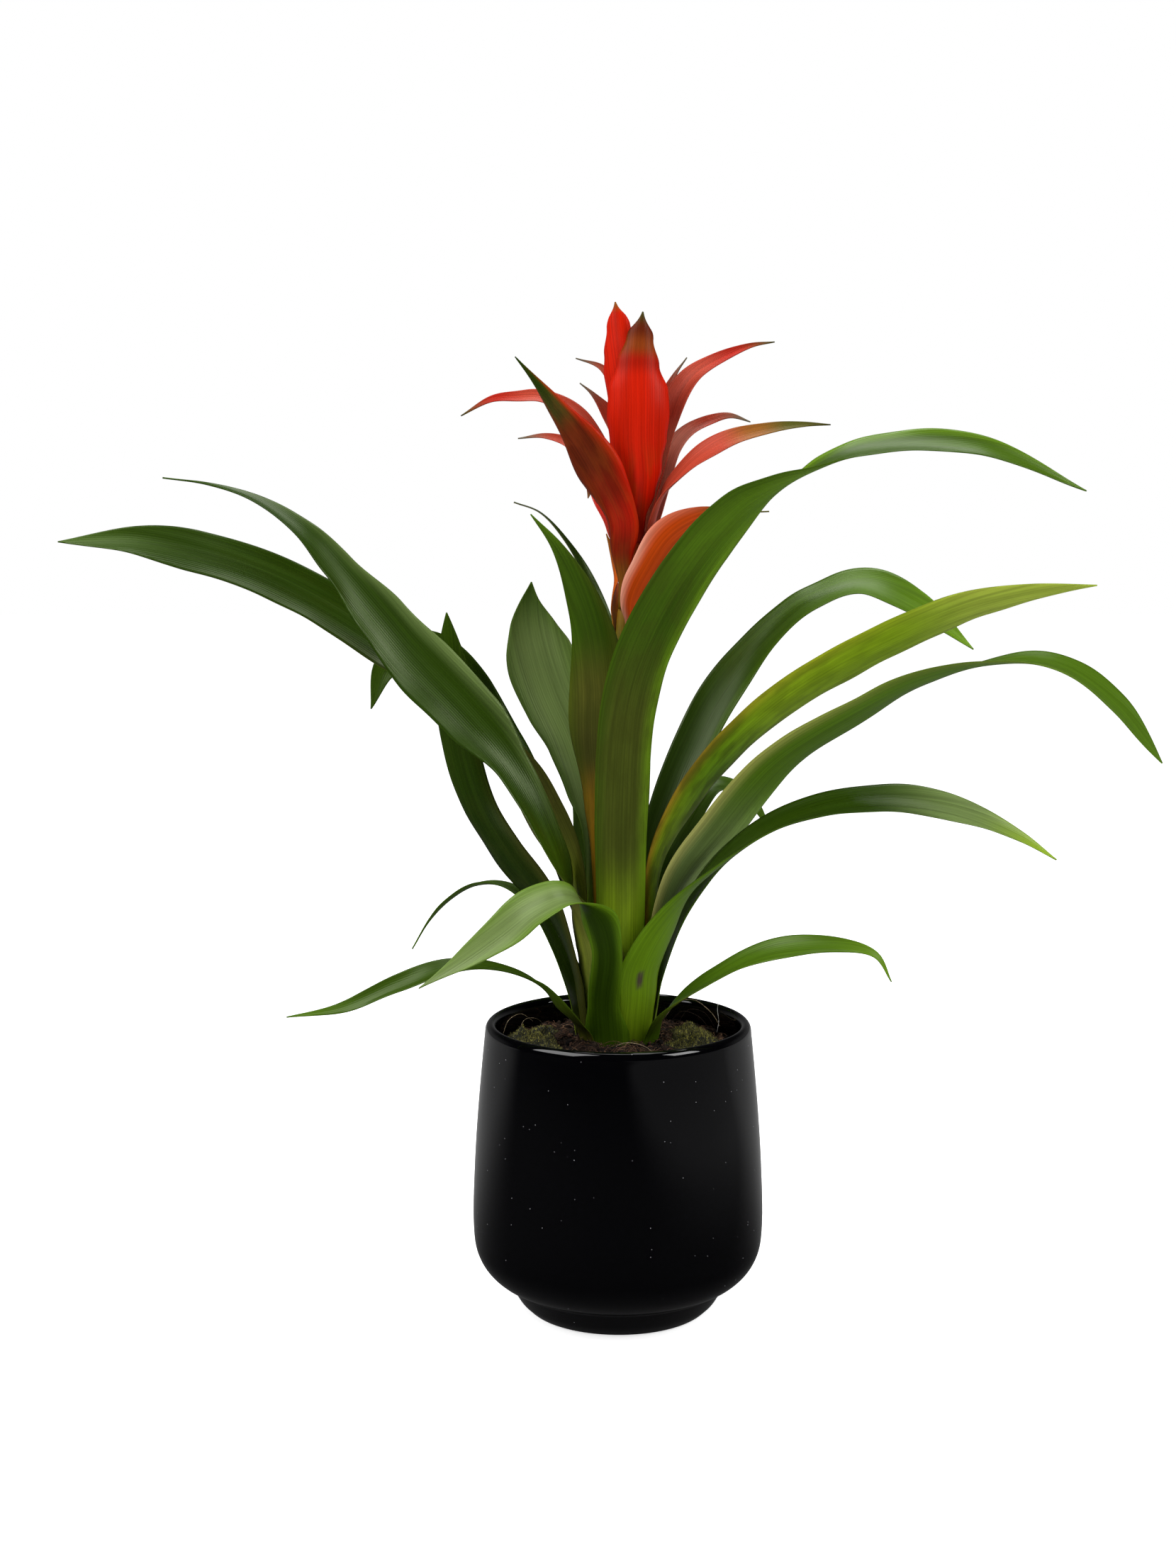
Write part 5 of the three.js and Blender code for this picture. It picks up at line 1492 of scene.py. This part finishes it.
@dataclass(frozen=True)
class Studio:
    """A pale floor, soft boxes, a bright surround, and the camera at the photograph's angle."""

    camera: Point = (-0.015, -1.100, 0.413)
    aim: Point = (-0.015, 0.0, 0.266)
    lens: float = 51.88
    sensor: float = 36.0
    centre: Point = (0.0, 0.0, 0.28)
    boxes: tuple[tuple[str, Point, float, float], ...] = (
        ("box_left", (-0.9, -0.5, 1.25), 1.05, 18.0),
        ("box_right", (1.0, -0.55, 0.95), 0.6, 9.0),
        ("box_top", (0.1, 0.35, 1.6), 1.0, 12.0),
    )
    floor_reach: float = 6000.0
    floor_greys: tuple[float, float] = (0.86, 0.90)
    floor_mirrored: float = 0.005
    floor_glow: float = 0.75

    @staticmethod
    def turned_to(aim: Point, place: Point) -> Euler:
        """The turn of a lamp or camera at a place that looks at a point."""
        return (Vector(aim) - Vector(place)).to_track_quat("-Z", "Y").to_euler()

    def build(self) -> None:
        """Makes the floor, the lights, the surround and the camera."""
        scene = bpy.context.scene
        scene.view_settings.view_transform = "Standard"
        self.floor()
        for name, place, side, power in self.boxes:
            light = bpy.data.lights.new(name, "AREA")
            light.size, light.energy = side, power
            lamp = bpy.data.objects.new(name, light)
            lamp.location = place
            lamp.rotation_euler = self.turned_to(self.centre, place)
            scene.collection.objects.link(lamp)
        self.surround()
        camera = bpy.data.objects.new("camera", bpy.data.cameras.new("camera"))
        camera.location = self.camera
        camera.rotation_euler = self.turned_to(self.aim, self.camera)
        camera.data.lens = self.lens
        camera.data.sensor_width = self.sensor
        scene.collection.objects.link(camera)
        scene.camera = camera

    @staticmethod
    def surround() -> None:
        """A white surround that lights the plant softly. Mirrored, it is dark but for a low band behind."""
        world = bpy.data.worlds.new("surround")
        bpy.context.scene.world = world
        world.use_nodes = True
        graph = Graph(world.node_tree)
        ray = graph.node("ShaderNodeLightPath").outputs
        part = graph.parts(graph.node("ShaderNodeTexCoord").outputs["Generated"])
        dome = graph.ease(part[2], -0.3, 0.9, 0.13, 0.50)
        behind = graph.ease(part[1], 0.1, 0.6, 0.02, 0.6)
        low = graph.ease(part[2], 0.0, 0.5, 1.0, 0.05)
        shine = graph.ease(ray["Is Glossy Ray"], 0.0, 1.0, 1.0, graph.math("MULTIPLY", behind, low))
        soft = graph.math("MULTIPLY", dome, shine)
        shown = graph.blend(ray["Is Camera Ray"], graph.grey(soft), WHITE)
        back = graph.node("ShaderNodeBackground", {"Color": shown, "Strength": 1.0})
        graph.node("ShaderNodeOutputWorld", {"Surface": back.outputs[0]})

    def floor(self) -> None:
        """A wide pale floor that glows to the camera. Mirrored, it is dark but for glows round the pot."""
        corners = np.array([(-1, -1, 0), (1, -1, 0), (1, 1, 0), (-1, 1, 0)]) * self.floor_reach
        floor = piece_of("floor", corners, [[0, 1, 2, 3]])
        made, graph = new_material("pale_floor")
        ray = graph.node("ShaderNodeLightPath").outputs
        place = graph.place()
        greys = (self.floor_mirrored, *self.floor_greys)
        mirrored, darker, lighter = ((grey, grey, grey, 1.0) for grey in greys)
        plain = graph.blend(graph.noise(place, 40.0), darker, lighter)
        pale = graph.blend(ray["Is Glossy Ray"], plain, mirrored)
        part = graph.parts(place)
        around = graph.node("ShaderNodeVectorMath", {0: place}, operation="LENGTH").outputs["Value"]
        near = graph.ease(around, 0.05, 0.11, 0.05, 0.0)
        past = graph.ease(part[1], -0.05, 0.30, 0.0, 0.27)
        aside = graph.ease(part[0], 0.15, 0.60, 0.0, 0.15)
        seen = graph.math("ADD", near, graph.math("MAXIMUM", past, aside))
        glow = graph.math("ADD", graph.math("MULTIPLY", ray["Is Camera Ray"], self.floor_glow),
                          graph.math("MULTIPLY", ray["Is Glossy Ray"], seen))
        graph.surface(Base_Color=pale, Roughness=0.9, Emission_Color=WHITE, Emission_Strength=glow)
        floor.data.materials.append(made)


def main() -> None:
    """Builds the plant's sub-assemblies in order, then the studio."""
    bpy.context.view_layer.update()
    Pot().build()
    Stem().build()
    ground = Ground()
    peat = Crumbly("peat", 900.0, 0.0006).build()
    ground.build(peat)
    ground.crumbs(peat)
    ground.fibres(peat)
    ground.roots(peat)
    green = Crumbly("moss_green", 1500.0, 0.0002, 0.2).build()
    for name in Ground.MOSS:
        ground.moss(name, green)
    for blade in LEAVES + BRACTS:
        blade.build()
    Studio().build()


if __name__ == "__main__":
    main()
